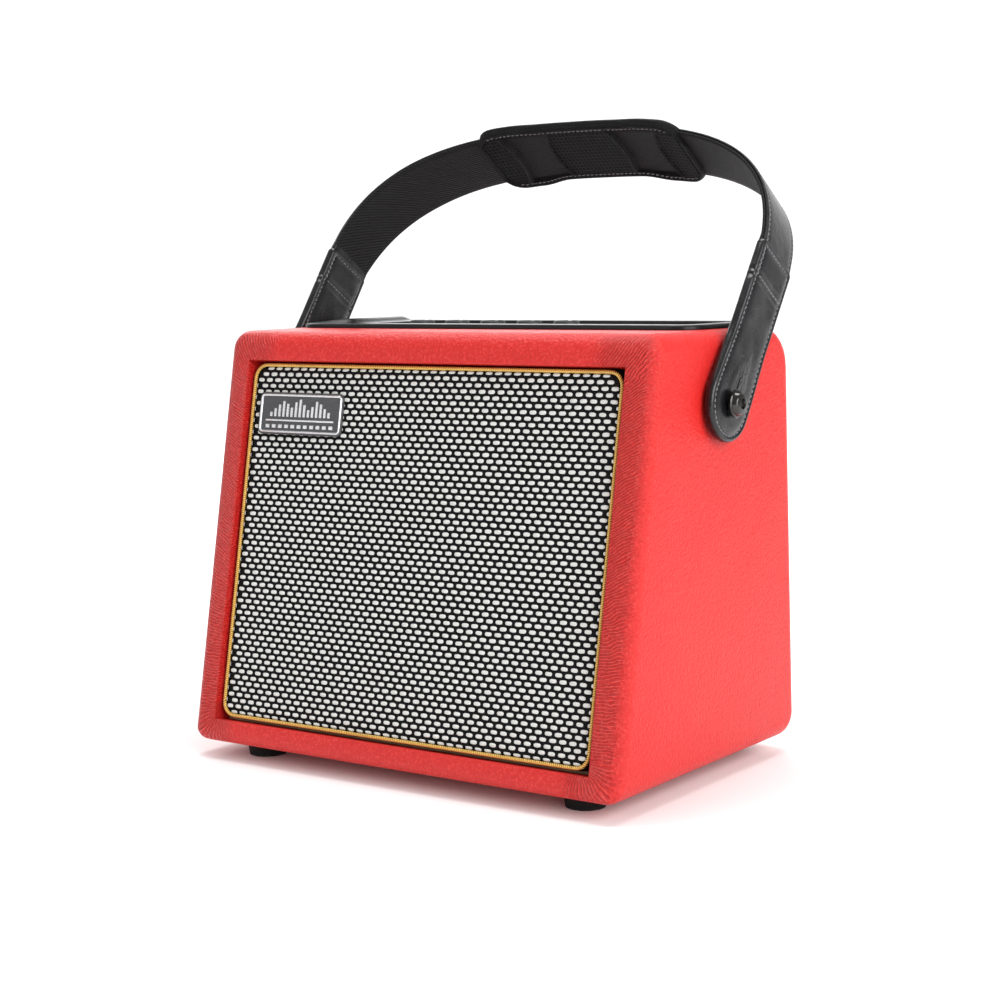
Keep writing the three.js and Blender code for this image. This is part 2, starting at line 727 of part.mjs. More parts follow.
function addPanelParts() {
  const button = turned([
    [0, 176],
    [2, 176],
    [2, 185.4],
    [5.8, 185.4],
    [5.8, floorUnder - gap],
    [4.6, floorUnder - gap],
    [4.6, 192.2],
    [4.2, 192.6],
    [0, 192.6],
  ], 12);
  piece(cabinet, 'bluetooth_button', button, 0x202124, 0.4).position.set(buttonX, knobY, 0);

  const led = turned([[0, 184], [1.5, 184], [1.5, 190.4], [0.9, 191.3], [0, 191.6]], 8);
  piece(cabinet, 'status_led', led, 0x3f7dff, 0.2).position.set(ledX, knobY, 0);

  const headphone = cut(
    join(rod(3, floorUnder - 6, 192.4, 14), boxBetween(-3.8, -6, 172, 3.8, 6, floorUnder - 5)),
    rod(1.8, 175, 250, 12),
  );
  piece(cabinet, 'headphone_jack', headphone, 0x2a2b2e, 0.4, 0.3).position.set(headphoneX, knobY, 0);

  const socket = cut(
    join(rod(4.5, floorUnder - 8, 193.4, 18), boxBetween(-6.2, -7, 160, 6.2, 7, floorUnder - 6)),
    rod(jackBoreRadius, 163, 250, 16),
  );
  piece(cabinet, 'input_jack', socket, 0x2a2b2e, 0.4, 0.3).position.set(jackX, knobY, 0);

  const housing = cut(
    join(
      boxBetween(-6, -9, 176, 6, 9, 191),
      boxBetween(-7.5, -10.5, pocketFloor + gap, 7.5, 10.5, 191.5),
    ),
    boxBetween(-5, -8, 180, 5, 8, 250),
  );
  piece(cabinet, 'power_switch_housing', housing, 0x121213, 0.4).position.set(switchX, knobY, 0);

  const side = [[-7, 0.4], [-2.4, -4], [2.4, -4], [7, 0.4], [7, 3], [0, 1.5], [-7, 3]];
  const shape = new THREE.Shape(side.map(([y, z]) => new THREE.Vector2(y, z)));
  const width = 9.3;
  const rocker = alongX(new THREE.ExtrudeGeometry(shape, { depth: width, bevelEnabled: false })
    .translate(0, 0, -width / 2));
  const rockerMesh = piece(cabinet, 'power_rocker', rocker, 0x2a0d0d, 0.4);
  rockerMesh.position.set(switchX, knobY, 188.5);
  rockerMesh.rotation.x = THREE.MathUtils.degToRad(-8);
}

// ---- Battery and speaker lead -------------------------------------------------------

function addElectrics() {
  const low = bottomBoardTop + gap;
  const pack = plate(roundedRectangle(-98, 96, -24, 134, 5), low, low + 20, 2);
  piece(cabinet, 'battery_pack', pack, 0x2f5fa8, 0.5);

  const route = new THREE.CatmullRomCurve3([
    [30, 110, boardTop - 1.6 - gap],
    [30, 109, 163],
    [29, 98, 152],
    [25, 82, 141],
    [22, 70, 134],
  ].map(([x, y, z]) => new THREE.Vector3(x, y, z)));
  const section = new THREE.Shape();
  section.absarc(0, 0, 1.5, 0, 2 * Math.PI, false);
  const options = { steps: 14, extrudePath: route, curveSegments: 4, bevelEnabled: false };
  piece(cabinet, 'speaker_lead', new THREE.ExtrudeGeometry(section, options), 0xb02a22, 0.5);
}

addBoards();
addCovering();
addBack();
addGrille();
addBadge();
addFeet();
addStrapButtons();
addStrap();
addSpeaker();
addControlPanel();
addKnobs();
addPanelParts();
addElectrics();

export default amplifier;
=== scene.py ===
"""A small battery guitar amplifier: a leaning cabinet in red leather cloth, a woven grille with
gold piping, a control panel let into the top, a loudspeaker inside and a padded strap.
It is put together here piece by piece, in metres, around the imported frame."""

import math

import bmesh
import bpy
from mathutils import Matrix, Vector
from mathutils.kdtree import KDTree


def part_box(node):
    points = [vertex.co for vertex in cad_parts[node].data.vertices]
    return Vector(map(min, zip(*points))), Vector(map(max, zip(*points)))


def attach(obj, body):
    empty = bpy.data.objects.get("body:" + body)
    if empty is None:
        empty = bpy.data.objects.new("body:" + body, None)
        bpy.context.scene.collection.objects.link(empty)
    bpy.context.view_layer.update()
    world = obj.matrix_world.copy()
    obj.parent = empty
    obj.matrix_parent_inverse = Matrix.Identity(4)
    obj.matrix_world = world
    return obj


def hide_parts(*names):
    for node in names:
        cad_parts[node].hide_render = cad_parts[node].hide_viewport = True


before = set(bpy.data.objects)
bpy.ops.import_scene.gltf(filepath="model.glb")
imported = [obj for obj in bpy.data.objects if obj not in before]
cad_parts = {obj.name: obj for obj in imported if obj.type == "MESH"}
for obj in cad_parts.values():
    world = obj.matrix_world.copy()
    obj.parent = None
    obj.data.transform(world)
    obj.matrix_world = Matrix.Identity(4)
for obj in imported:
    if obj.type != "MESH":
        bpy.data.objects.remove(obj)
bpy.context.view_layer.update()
MM = 0.001

# ---- Studio ---------------------------------------------------------------------------
# A pale floor, a pale room and soft lights. The camera stands to the right of the front,
# at about the height of the strap, with a long lens.

scene = bpy.context.scene
scene.view_settings.view_transform = "Standard"

CAMERA_PLACE = Vector((0.5701, -0.8072, 0.2389))
CAMERA_AZIMUTH = math.radians(35.42)
CAMERA_DROP = math.radians(6.68)
CAMERA_ROLL = math.radians(-0.94)
CAMERA_LENS = 72.83
FLOOR_COLOUR = (0.93, 0.93, 0.93, 1)
FLOOR_FRONT = -5
FLOOR_BACK = 1.9
FLOOR_WIDE = 5
SWEEP_RADIUS = 0.7
WALL_HEIGHT = 4


def aim_camera():
    """Stand the camera in its place, looking a little down."""
    camera = bpy.data.objects.new("studio_camera", bpy.data.cameras.new("studio_camera"))
    scene.collection.objects.link(camera)
    camera.data.lens = CAMERA_LENS
    camera.data.sensor_width = 36
    turn = Matrix.Rotation(CAMERA_AZIMUTH, 4, "Z")
    tilt = Matrix.Rotation(math.pi / 2 - CAMERA_DROP, 4, "X")
    roll = Matrix.Rotation(CAMERA_ROLL, 4, "Z")
    camera.matrix_world = Matrix.Translation(CAMERA_PLACE) @ turn @ tilt @ roll
    scene.camera = camera


def soft_light(name, place, target, size, power):
    """A soft box that looks at a point."""
    lamp = bpy.data.lights.new(name, "AREA")
    lamp.shape = "RECTANGLE"
    lamp.size, lamp.size_y = size
    lamp.energy = power
    stand = bpy.data.objects.new(name, lamp)
    scene.collection.objects.link(stand)
    stand.location = place
    look = Vector(target) - Vector(place)
    stand.rotation_euler = look.to_track_quat("-Z", "Y").to_euler()


def lay_floor():
    """A pale paper sweep that runs up into a wall behind; it isn't part of the amplifier."""
    profile = [(FLOOR_FRONT, 0), (FLOOR_BACK, 0)]
    for step in range(1, 13):
        turn = math.pi / 2 * step / 12
        profile.append((FLOOR_BACK + SWEEP_RADIUS * math.sin(turn), SWEEP_RADIUS * (1 - math.cos(turn))))
    profile.append((FLOOR_BACK + SWEEP_RADIUS, WALL_HEIGHT))
    spin = Matrix.Rotation(CAMERA_AZIMUTH, 3, "Z")
    points = [spin @ Vector((side, back, up)) for back, up in profile for side in (-FLOOR_WIDE, FLOOR_WIDE)]
    faces = [(2 * row, 2 * row + 1, 2 * row + 3, 2 * row + 2) for row in range(len(profile) - 1)]
    sheet = bpy.data.meshes.new("studio_floor")
    sheet.from_pydata(points, [], faces)
    sheet.shade_smooth()
    floor = bpy.data.objects.new("studio_floor", sheet)
    scene.collection.objects.link(floor)
    paint = bpy.data.materials.new("pale_floor")
    paint.use_nodes = True
    shader = paint.node_tree.nodes["Principled BSDF"]
    shader.inputs["Base Color"].default_value = FLOOR_COLOUR
    shader.inputs["Roughness"].default_value = 0.9
    sheet.materials.append(paint)


aim_camera()
lay_floor()
soft_light("key_light", (1.6, -0.35, 0.9), (0, 0, 0.15), (1.2, 1.2), 24)
soft_light("edge_light", (1.05, -0.78, 0.42), (0, 0, 0.12), (0.16, 0.9), 3.6)
soft_light("front_light", (-0.9, -1.8, 0.9), (0, 0, 0.15), (1.2, 0.9), 5)
soft_light("top_light", (-0.1, 0.3, 1.9), (0, 0, 0.1), (1.6, 1.0), 10)
soft_light("back_light", (-1.2, 1.2, 1.0), (0, 0, 0.15), (1.2, 1.0), 9)
soft_light("wall_light", (-0.2, 0.4, 2.6), (-1.3, 1.8, 0.6), (2.0, 1.0), 50)
room = bpy.data.worlds.new("pale_room")
room.use_nodes = True
room.node_tree.nodes["Background"].inputs["Color"].default_value = (1, 1, 1, 1)
room.node_tree.nodes["Background"].inputs["Strength"].default_value = 0.42
scene.world = room

# ---- Boards ---------------------------------------------------------------------------
# Five plywood boards, glued into a box that leans back at the front, and a black painted
# baffle board behind the grille. They show only through the openings.


class Value:
    """A number that varies over a surface. Sums written with it become maths nodes."""

    def __init__(self, paint, socket):
        self.paint = paint
        self.socket = socket

    def maths(self, operation, *operands):
        made = self.paint.tree.nodes.new("ShaderNodeMath")
        made.operation = operation
        for index, operand in enumerate(operands):
            self.paint.fill(made.inputs[index], operand)
        return Value(self.paint, made.outputs[0])

    def __add__(self, other):
        return self.maths("ADD", self, other)

    def __sub__(self, other):
        return self.maths("SUBTRACT", self, other)

    def __mul__(self, other):
        return self.maths("MULTIPLY", self, other)

    def __truediv__(self, other):
        return self.maths("DIVIDE", self, other)

    def __rsub__(self, other):
        return self.maths("SUBTRACT", other, self)

    def __rtruediv__(self, other):
        return self.maths("DIVIDE", other, self)

    def __neg__(self):
        return self.maths("SUBTRACT", 0, self)

    def __abs__(self):
        return self.maths("ABSOLUTE", self)

    def __mod__(self, other):
        return self.maths("FLOORED_MODULO", self, other)

    def __pow__(self, other):
        return self.maths("POWER", self, other)

    __radd__ = __add__
    __rmul__ = __mul__

    def sine(self):
        return self.maths("SINE", self)

    def rise(self, low, high):
        """0 below low, 1 above high, smooth between them."""
        made = self.paint.node("MapRange", {"interpolation_type": "SMOOTHSTEP"},
                               Value=self, From_Min=low, From_Max=high)
        return Value(self.paint, made.outputs["Result"])


class Paint:
    """One procedural material, worked out over object coordinates in millimetres."""

    def __init__(self, name, colour, roughness, metallic=0.0, coat=0.0, coat_roughness=0.1,
                 specular=0.5):
        self.material = bpy.data.materials.new(name)
        self.material.use_nodes = True
        self.tree = self.material.node_tree
        self.shader = self.tree.nodes["Principled BSDF"]
        self.shader.inputs["Base Color"].default_value = (*colour, 1)
        self.shader.inputs["Roughness"].default_value = roughness
        self.shader.inputs["Metallic"].default_value = metallic
        self.shader.inputs["Coat Weight"].default_value = coat
        self.shader.inputs["Coat Roughness"].default_value = coat_roughness
        self.shader.inputs["Specular IOR Level"].default_value = specular
        where = self.node("TexCoord").outputs["Object"]
        scaled = self.node("VectorMath", {"operation": "SCALE"}, Scale=1 / MM)
        self.fill(scaled.inputs[0], where)
        self.place = scaled.outputs[0]
        self.x, self.y, self.z = self.split(self.place)

    def fill(self, socket, item):
        """Put a number in a socket, or join it to a value."""
        if isinstance(item, Value):
            item = item.socket
        if isinstance(item, bpy.types.NodeSocket):
            self.tree.links.new(item, socket)
        else:
            socket.default_value = item

    def node(self, kind, settings=None, **sockets):
        """Add a node, make its settings, then fill the sockets named."""
        made = self.tree.nodes.new("ShaderNode" + kind)
        for setting, choice in (settings or {}).items():
            setattr(made, setting, choice)
        for socket, item in sockets.items():
            self.fill(made.inputs[socket.replace("_", " ")], item)
        return made

    def split(self, vector):
        """The three numbers of a vector."""
        made = self.node("SeparateXYZ", Vector=vector)
        return tuple(Value(self, output) for output in made.outputs)

    def vector(self, x, y, z):
        return self.node("CombineXYZ", X=x, Y=y, Z=z).outputs[0]

    def lay(self):
        """The piece's own (along, across, side) numbers, in millimetres."""
        made = self.node("Attribute", {"attribute_name": "lay"})
        return self.split(made.outputs["Vector"])

    def noise(self, size, detail=2.0, vector=None):
        """Cloudy noise from 0 to 1 whose clouds are about so many millimetres across."""
        made = self.node("TexNoise", Vector=vector or self.place, Scale=1 / size, Detail=detail)
        return Value(self, made.outputs[0])

    def cells(self, size, vector=None, feature="F1"):
        """Distance from the middles of scattered cells about so many millimetres apart."""
        made = self.node("TexVoronoi", {"feature": feature}, Vector=vector or self.place, Scale=1 / size)
        return Value(self, made.outputs["Distance"])

    def blend(self, amount, one, other):
        """A colour between two colours."""
        made = self.node("Mix", {"data_type": "RGBA"})
        self.fill(made.inputs[0], amount)
        for socket, colour in ((made.inputs[6], one), (made.inputs[7], other)):
            self.fill(socket, (*colour, 1) if isinstance(colour, tuple) else colour)
        return made.outputs[2]

    def feed(self, **sockets):
        """Let values that vary over the surface drive the shader."""
        for socket, item in sockets.items():
            self.fill(self.shader.inputs[socket.replace("_", " ")], item)

    def bump(self, height, depth):
        """Raise the surface where height is 1, by so many millimetres."""
        made = self.node("Bump", Height=height, Distance=depth * MM, Strength=1.0)
        self.fill(self.shader.inputs["Normal"], made.outputs["Normal"])


def coat(paint, *nodes):
    """Finish nodes of the frame in a paint."""
    for name in nodes:
        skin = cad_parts[name].data
        skin.materials.clear()
        skin.materials.append(paint.material)


def plywood_paint():
    """Pale veneers with long grain and darker glue lines."""
    paint = Paint("birch_plywood", (0.62, 0.43, 0.25), 0.55)
    grain = paint.noise(4, 4, paint.vector(paint.x * 0.05, paint.y, paint.z))
    plies = ((paint.z + paint.y) * 4.2).sine().rise(0.75, 1)
    tint = paint.blend(grain, (0.70, 0.50, 0.30), (0.50, 0.33, 0.18))
    paint.feed(Base_Color=paint.blend(plies * 0.5, tint, (0.26, 0.15, 0.08)), Roughness=0.5 + grain * 0.2)
    paint.bump(grain, 0.15)
    return paint


def black_board_paint():
    """Thin matt black paint with the wood's pores still showing."""
    paint = Paint("black_board_paint", (0.012, 0.012, 0.012), 0.7)
    pores = paint.noise(1.2, 4, paint.vector(paint.x * 0.15, paint.y, paint.z))
    paint.feed(Roughness=0.6 + pores * 0.25)
    paint.bump(pores, 0.12)
    return paint


coat(plywood_paint(), "side_board_left", "side_board_right", "top_board", "bottom_board", "back_board")
coat(black_board_paint(), "baffle_board")

# ---- Leather cloth covering -----------------------------------------------------------
# Red vinyl leather cloth glued over the boards and turned into the front opening. It has
# a fine pebble grain, and it gathers into short creases round the corners of the opening.

WIDTH = 248
HEIGHT = 200
DEPTH = 169
FRONT_LEAN = 38
BACK_LEAN = 7.5
CORNERS = ((0, 0, 6), (FRONT_LEAN, HEIGHT, 10), (DEPTH - BACK_LEAN, HEIGHT, 20), (DEPTH, 0, 12))
EDGE_RADIUS = 8.5
FLAT_HALF = WIDTH / 2 - EDGE_RADIUS
FOOT_SETBACK = 24
OPENING_HALF = 108.8
OPENING_LOW = 12.3
OPENING_HIGH = 189.3
OPENING_DEPTH = 11
FOLD = 0.7
CREASE_PITCH = 1.45
ACROSS_STEPS = 24
FLAT_STEPS = 12
TURN_STEPS = 6
FRONT_ANGLE = math.atan2(FRONT_LEAN, HEIGHT)
BACK_ANGLE = math.atan2(BACK_LEAN, HEIGHT)
UP_FRONT = Vector((0, math.sin(FRONT_ANGLE), math.cos(FRONT_ANGLE)))
INTO_FRONT = Vector((0, math.cos(FRONT_ANGLE), -math.sin(FRONT_ANGLE)))
foot_low, foot_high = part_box("foot_front_left")
BASE_Y = (foot_low.y + foot_high.y) / 2 / MM - FOOT_SETBACK
BASE_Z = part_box("vinyl_covering")[0].z / MM


def at(x, y, z):
    """A point of the cabinet: across, back from the front's foot, up from the underside."""
    return Vector((x, BASE_Y + y, BASE_Z + z))


def on_front(x, up, into=0.0):
    """A point of the leaning front: across, up the slope and in behind it."""
    return at(x, 0, 0) + UP_FRONT * up + INTO_FRONT * into


class Shape:
    """Points and faces gathered for one piece, in millimetres."""

    def __init__(self):
        self.points = []
        self.faces = []
        self.lays = []

    def loop(self, points, lays=None):
        """Add a row of points and return their numbers."""
        start = len(self.points)
        self.points.extend(Vector(point) for point in points)
        self.lays.extend(lays or [(0, 0, 0)] * len(points))
        return list(range(start, len(self.points)))

    def bridge(self, one, other, closed=True):
        """Four-sided faces between two rows of as many points."""
        last = len(one) if closed else len(one) - 1
        for index in range(last):
            after = (index + 1) % len(one)
            self.faces.append((one[index], one[after], other[after], other[index]))

    def skin(self, loops, closed=True):
        for one, other in zip(loops, loops[1:]):
            self.bridge(one, other, closed)

    def cap(self, loop):
        self.faces.append(tuple(loop))

    def solid(self, loops):
        """A closed body through the loops, with both ends filled."""
        self.skin(loops)
        self.cap(loops[0])
        self.cap(loops[-1])

    def mesh(self, name, sharp=35):
        """The finished mesh in metres: welded, facing outward and smooth up to an angle."""
        mesh = bpy.data.meshes.new(name)
        mesh.from_pydata([point * MM for point in self.points], [], self.faces)
        lay = mesh.attributes.new("lay", "FLOAT_VECTOR", "POINT")
        lay.data.foreach_set("vector", [number for item in self.lays for number in item])
        work = bmesh.new()
        work.from_mesh(mesh)
        bmesh.ops.remove_doubles(work, verts=work.verts, dist=0.002 * MM)
        bmesh.ops.dissolve_degenerate(work, edges=work.edges, dist=0.001 * MM)
        bmesh.ops.recalc_face_normals(work, faces=work.faces)
        work.to_mesh(mesh)
        work.free()
        mesh.shade_smooth()
        mesh.set_sharp_from_angle(angle=math.radians(sharp))
        return mesh


def place_piece(name, mesh, paint, body, stands_for=()):
    """Put a mesh in the scene as one piece that rides a body and stands for frame nodes."""
    piece = bpy.data.objects.new(name, mesh)
    scene.collection.objects.link(piece)
    mesh.materials.clear()
    mesh.materials.append(paint.material)
    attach(piece, body)
    if stands_for:
        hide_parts(*stands_for)
    return piece


def side_outline(inset):
    """The cabinet's side outline moved inward: four flats and four turns, as (y, z) points."""
    lines = []
    for index in range(4):
        start = Vector(CORNERS[index][:2])
        along = (Vector(CORNERS[(index + 1) % 4][:2]) - start).normalized()
        inward = Vector((along.y, -along.x))
        lines.append((start + inward * inset, along))
    tangents = []
    turns = []
    for index in range(4):
        before, along_before = lines[index - 1]
        after, along_after = lines[index]
        gap = after - before
        cross = along_before.x * along_after.y - along_before.y * along_after.x
        reach = (gap.x * along_after.y - gap.y * along_after.x) / cross
        corner = before + along_before * reach
        radius = max(CORNERS[index][2] - inset, 0.4)
        half_turn = along_before.angle(along_after) / 2
        cut = radius * math.tan(half_turn)
        centre = corner - along_before * cut + Vector((along_before.y, -along_before.x)) * radius
        arm = (corner - along_before * cut) - centre
        arc = []
        for step in range(TURN_STEPS + 1):
            spin = -2 * half_turn * step / TURN_STEPS
            arc.append(centre + Matrix.Rotation(spin, 2) @ arm)
        turns.append(arc)
        tangents.append((arc[0], arc[-1]))
    outline = []
    for index in range(4):
        start = tangents[index][1]
        end = tangents[(index + 1) % 4][0]
        outline.extend(start.lerp(end, step / FLAT_STEPS) for step in range(FLAT_STEPS))
        outline.extend(turns[(index + 1) % 4][:-1])
    return outline


def rounded_loop(low, high, radii, steps=(ACROSS_STEPS, FLAT_STEPS), turn_steps=4):
    """Points round a rectangle, as many for any size and corner radius, as (x, y) pairs."""
    corners = ((low[0], low[1], 1, 1), (high[0], low[1], -1, 1),
               (high[0], high[1], -1, -1), (low[0], high[1], 1, -1))
    arcs = []
    for index, (x, y, right, up) in enumerate(corners):
        radius = max(radii[index], 0)
        start = math.radians(180 + 90 * index)
        centre = Vector((x + right * radius, y + up * radius))
        arcs.append([centre + Vector((math.cos(start + math.pi / 2 * step / turn_steps),
                                      math.sin(start + math.pi / 2 * step / turn_steps))) * radius
                     for step in range(turn_steps + 1)])
    points = []
    for index in range(4):
        count = steps[index % 2]
        start = arcs[index][-1]
        end = arcs[(index + 1) % 4][0]
        points.extend(arcs[index][:-1])
        points.extend(start.lerp(end, step / count) for step in range(count))
    return points


def window(shape, start, end, low, high, radius, depth, ring=None):
    """Fill a flat from the outline's start to its end round a turned-in opening."""
    along = (end - start).normalized()
    inward = Vector((0, along.z, -along.y))
    length = (end - start).length

    def ring_at(reach, into):
        corners = [radius + reach] * 4
        points = rounded_loop((low[0] - reach, low[1] - reach), (high[0] + reach, high[1] + reach), corners)
        return shape.loop([start + Vector((x, 0, 0)) + along * up + inward * into for x, up in points])

    edge = rounded_loop((-FLAT_HALF, 0), (FLAT_HALF, length), (0, 0, 0, 0))
    rings = [shape.loop([start + Vector((x, 0, 0)) + along * up for x, up in edge])]
    for step in range(5):
        turn = math.pi / 2 * step / 4
        rings.append(ring_at(FOLD * (1 - math.sin(turn)), FOLD * (1 - math.cos(turn))))
    rings.append(ring_at(0, depth))
    shape.skin(rings)


def covering_mesh():
    """Outline loops across the width, with the front, top and back openings turned in."""
    shape = Shape()
    sides = []
    for side in (-1, 1):
        loops = []
        for step in range(9):
            turn = math.pi / 2 * step / 8
            inset = EDGE_RADIUS * (1 - math.cos(turn))
            x = side * (FLAT_HALF + EDGE_RADIUS * math.sin(turn))
            loops.append(shape.loop([at(x, y, z) for y, z in side_outline(inset)]))
        shape.skin(loops)
        shape.cap(loops[-1])
        sides.append(loops[0])
    outline = side_outline(0)
    count = len(outline)
    stretch = FLAT_STEPS + TURN_STEPS
    for column in range(ACROSS_STEPS):
        left = -FLAT_HALF + 2 * FLAT_HALF * column / ACROSS_STEPS
        right = -FLAT_HALF + 2 * FLAT_HALF * (column + 1) / ACROSS_STEPS
        for flat in range(4):
            first = flat * stretch + (0 if flat == 3 else FLAT_STEPS)
            rows = [outline[index % count] for index in range(first, (flat + 1) * stretch + 1)]
            one = shape.loop([at(left, y, z) for y, z in rows])
            other = shape.loop([at(right, y, z) for y, z in rows])
            shape.bridge(one, other, closed=False)
    ends = [(outline[flat * stretch], outline[flat * stretch + FLAT_STEPS]) for flat in range(3)]
    (front_start, front_end), (top_start, top_end), (back_start, back_end) = [
        (at(0, *start), at(0, *end)) for start, end in ends]
    front_base = (front_start - at(0, 0, 0)).length
    window(shape, front_start, front_end, (-OPENING_HALF, OPENING_LOW - front_base),
           (OPENING_HALF, OPENING_HIGH - front_base), 0.3, OPENING_DEPTH)
    top_base = top_start.y - BASE_Y
    window(shape, top_start, top_end, (-80, 88 - top_base), (112, 141.3 - top_base), 4, 2)
    back_top = back_start.z - BASE_Z
    window(shape, back_start, back_end, (-96, back_top - 172), (96, back_top - 24), 6, 3)
    return shape.mesh("leather_covering", 50)


def leather_paint():
    """Pebble grain all over; gathers lie across the front border and fan at its low corners. Painted shade
    darkens the crease hollows and the crevices between pebbles; painted highlights lighten the crease
    ridges and, on the front and top borders, the pebble crowns.
    """
    paint = Paint("red_leather_cloth", (0.60, 0.014, 0.012), 0.4, specular=0.4)
    back = paint.y - BASE_Y
    up = (paint.z - BASE_Z) * math.cos(FRONT_ANGLE) + back * math.sin(FRONT_ANGLE)
    into = back * math.cos(FRONT_ANGLE) - (paint.z - BASE_Z) * math.sin(FRONT_ANGLE)
    out = abs(paint.x)
    pebbles = paint.cells(1.25, feature="SMOOTH_F1")
    fine = paint.noise(0.45, 3)
    grain = (1 - pebbles) + fine * 0.5
    wander = paint.noise(7, 2)
    patch = paint.noise(2.6, 2)
    wave = 2 * math.pi / CREASE_PITCH
    slope = up.rise(20, 120) * 0.62
    side_creases = ((up - (out - OPENING_HALF) * slope + wander * 3.2) * wave).sine()
    top_creases = ((up * 0.57 - out * 0.82 + wander * 2.6) * wave).sine()
    across = out - OPENING_HALF + 5
    below = OPENING_LOW + 6 - up
    fan = across.maths("ARCTAN2", across, below)
    low_creases = (fan * 46 + wander * 8).sine()
    on_side = out.rise(OPENING_HALF - 1, OPENING_HALF + 0.5) * up.rise(16, 24) * (1 - up.rise(180, 188))
    on_top = up.rise(180, 188) * out.rise(88, 106)
    on_foot = (1 - up.rise(16, 24)) * out.rise(92, 106)
    creases = side_creases.rise(-0.8, 0.8) * on_side + top_creases.rise(-0.8, 0.8) * on_top
    creases = (creases + low_creases.rise(-0.8, 0.8) * on_foot) * (patch * 0.9 + 0.45)
    border = 1 - into.rise(0.6, 6)
    soft = 1 - out.rise(OPENING_HALF + 9, WIDTH / 2 - 2) * 0.6
    creases = creases * border * soft
    swell = paint.noise(30, 1)
    edge = out.rise(OPENING_HALF + 8, WIDTH / 2 - 4) * (1 - into.rise(3, 9))
    paint.bump(grain * (edge * 0.8 + 0.45) + creases * 1.25 + swell * 0.6, 0.75)
    # Painted shade: the crease hollows and the crevices between pebbles are coloured darker red.
    crease_shade = (1 - creases) * border * soft * (on_side + on_top + on_foot)
    shade = paint.blend(crease_shade * 0.4 + pebbles * 0.4, (0.64, 0.017, 0.014), (0.40, 0.005, 0.005))
    # Painted highlight: the crease ridges are coloured a lighter pink red.
    shade = paint.blend(creases.rise(0.5, 1.1) * 0.45, shade, (0.86, 0.08, 0.06))
    # Painted highlight: the pebble crowns on the front and top borders are coloured lighter.
    pebble_highlight = (1 - pebbles).rise(0.55, 0.95) * (1 - into.rise(3, 9)) * 0.28
    shade = paint.blend(pebble_highlight, shade, (0.90, 0.11, 0.09))
    paint.feed(Base_Color=shade, Roughness=0.33 + fine * 0.12 + pebbles * 0.12)
    return paint


leather = leather_paint()
place_piece("leather_covering", covering_mesh(), leather, "cabinet", ["vinyl_covering"])

# ---- Grille frame ---------------------------------------------------------------------
# A flat wooden frame, painted black, that presses into the front opening. The cloth is
# stretched over it and stapled behind.


def frame_paint():
    """Black stain over softwood, a little worn on the grain."""
    paint = Paint("stained_grille_frame", (0.02, 0.02, 0.02), 0.65)
    grain = paint.noise(2, 4, paint.vector(paint.x * 0.1, paint.y, paint.z))
    paint.feed(Base_Color=paint.blend(grain, (0.03, 0.025, 0.02), (0.008, 0.008, 0.008)))
    paint.bump(grain, 0.1)
    return paint


coat(frame_paint(), "grille_frame")

# ---- Grille cloth ---------------------------------------------------------------------
# One cloth, stretched flat over the frame, rolled round its front edge and turned in at
# the back. Black yarns bind rows of thick off-white floats that show as ovals.

GRILLE_HALF = 107.6
GRILLE_LOW = 13.5
GRILLE_HIGH = 188.8
GRILLE_TURN = 8
CLOTH_INSET = 2.7
CLOTH_INTO = 3.95
CLOTH_ROLL = 2.6
CLOTH_BACK = 15.0
FLOAT_PITCH = 5.26
FLOAT_ROW = 2.84
FLOAT_SIZE = (3.8, 1.95, 0.55)


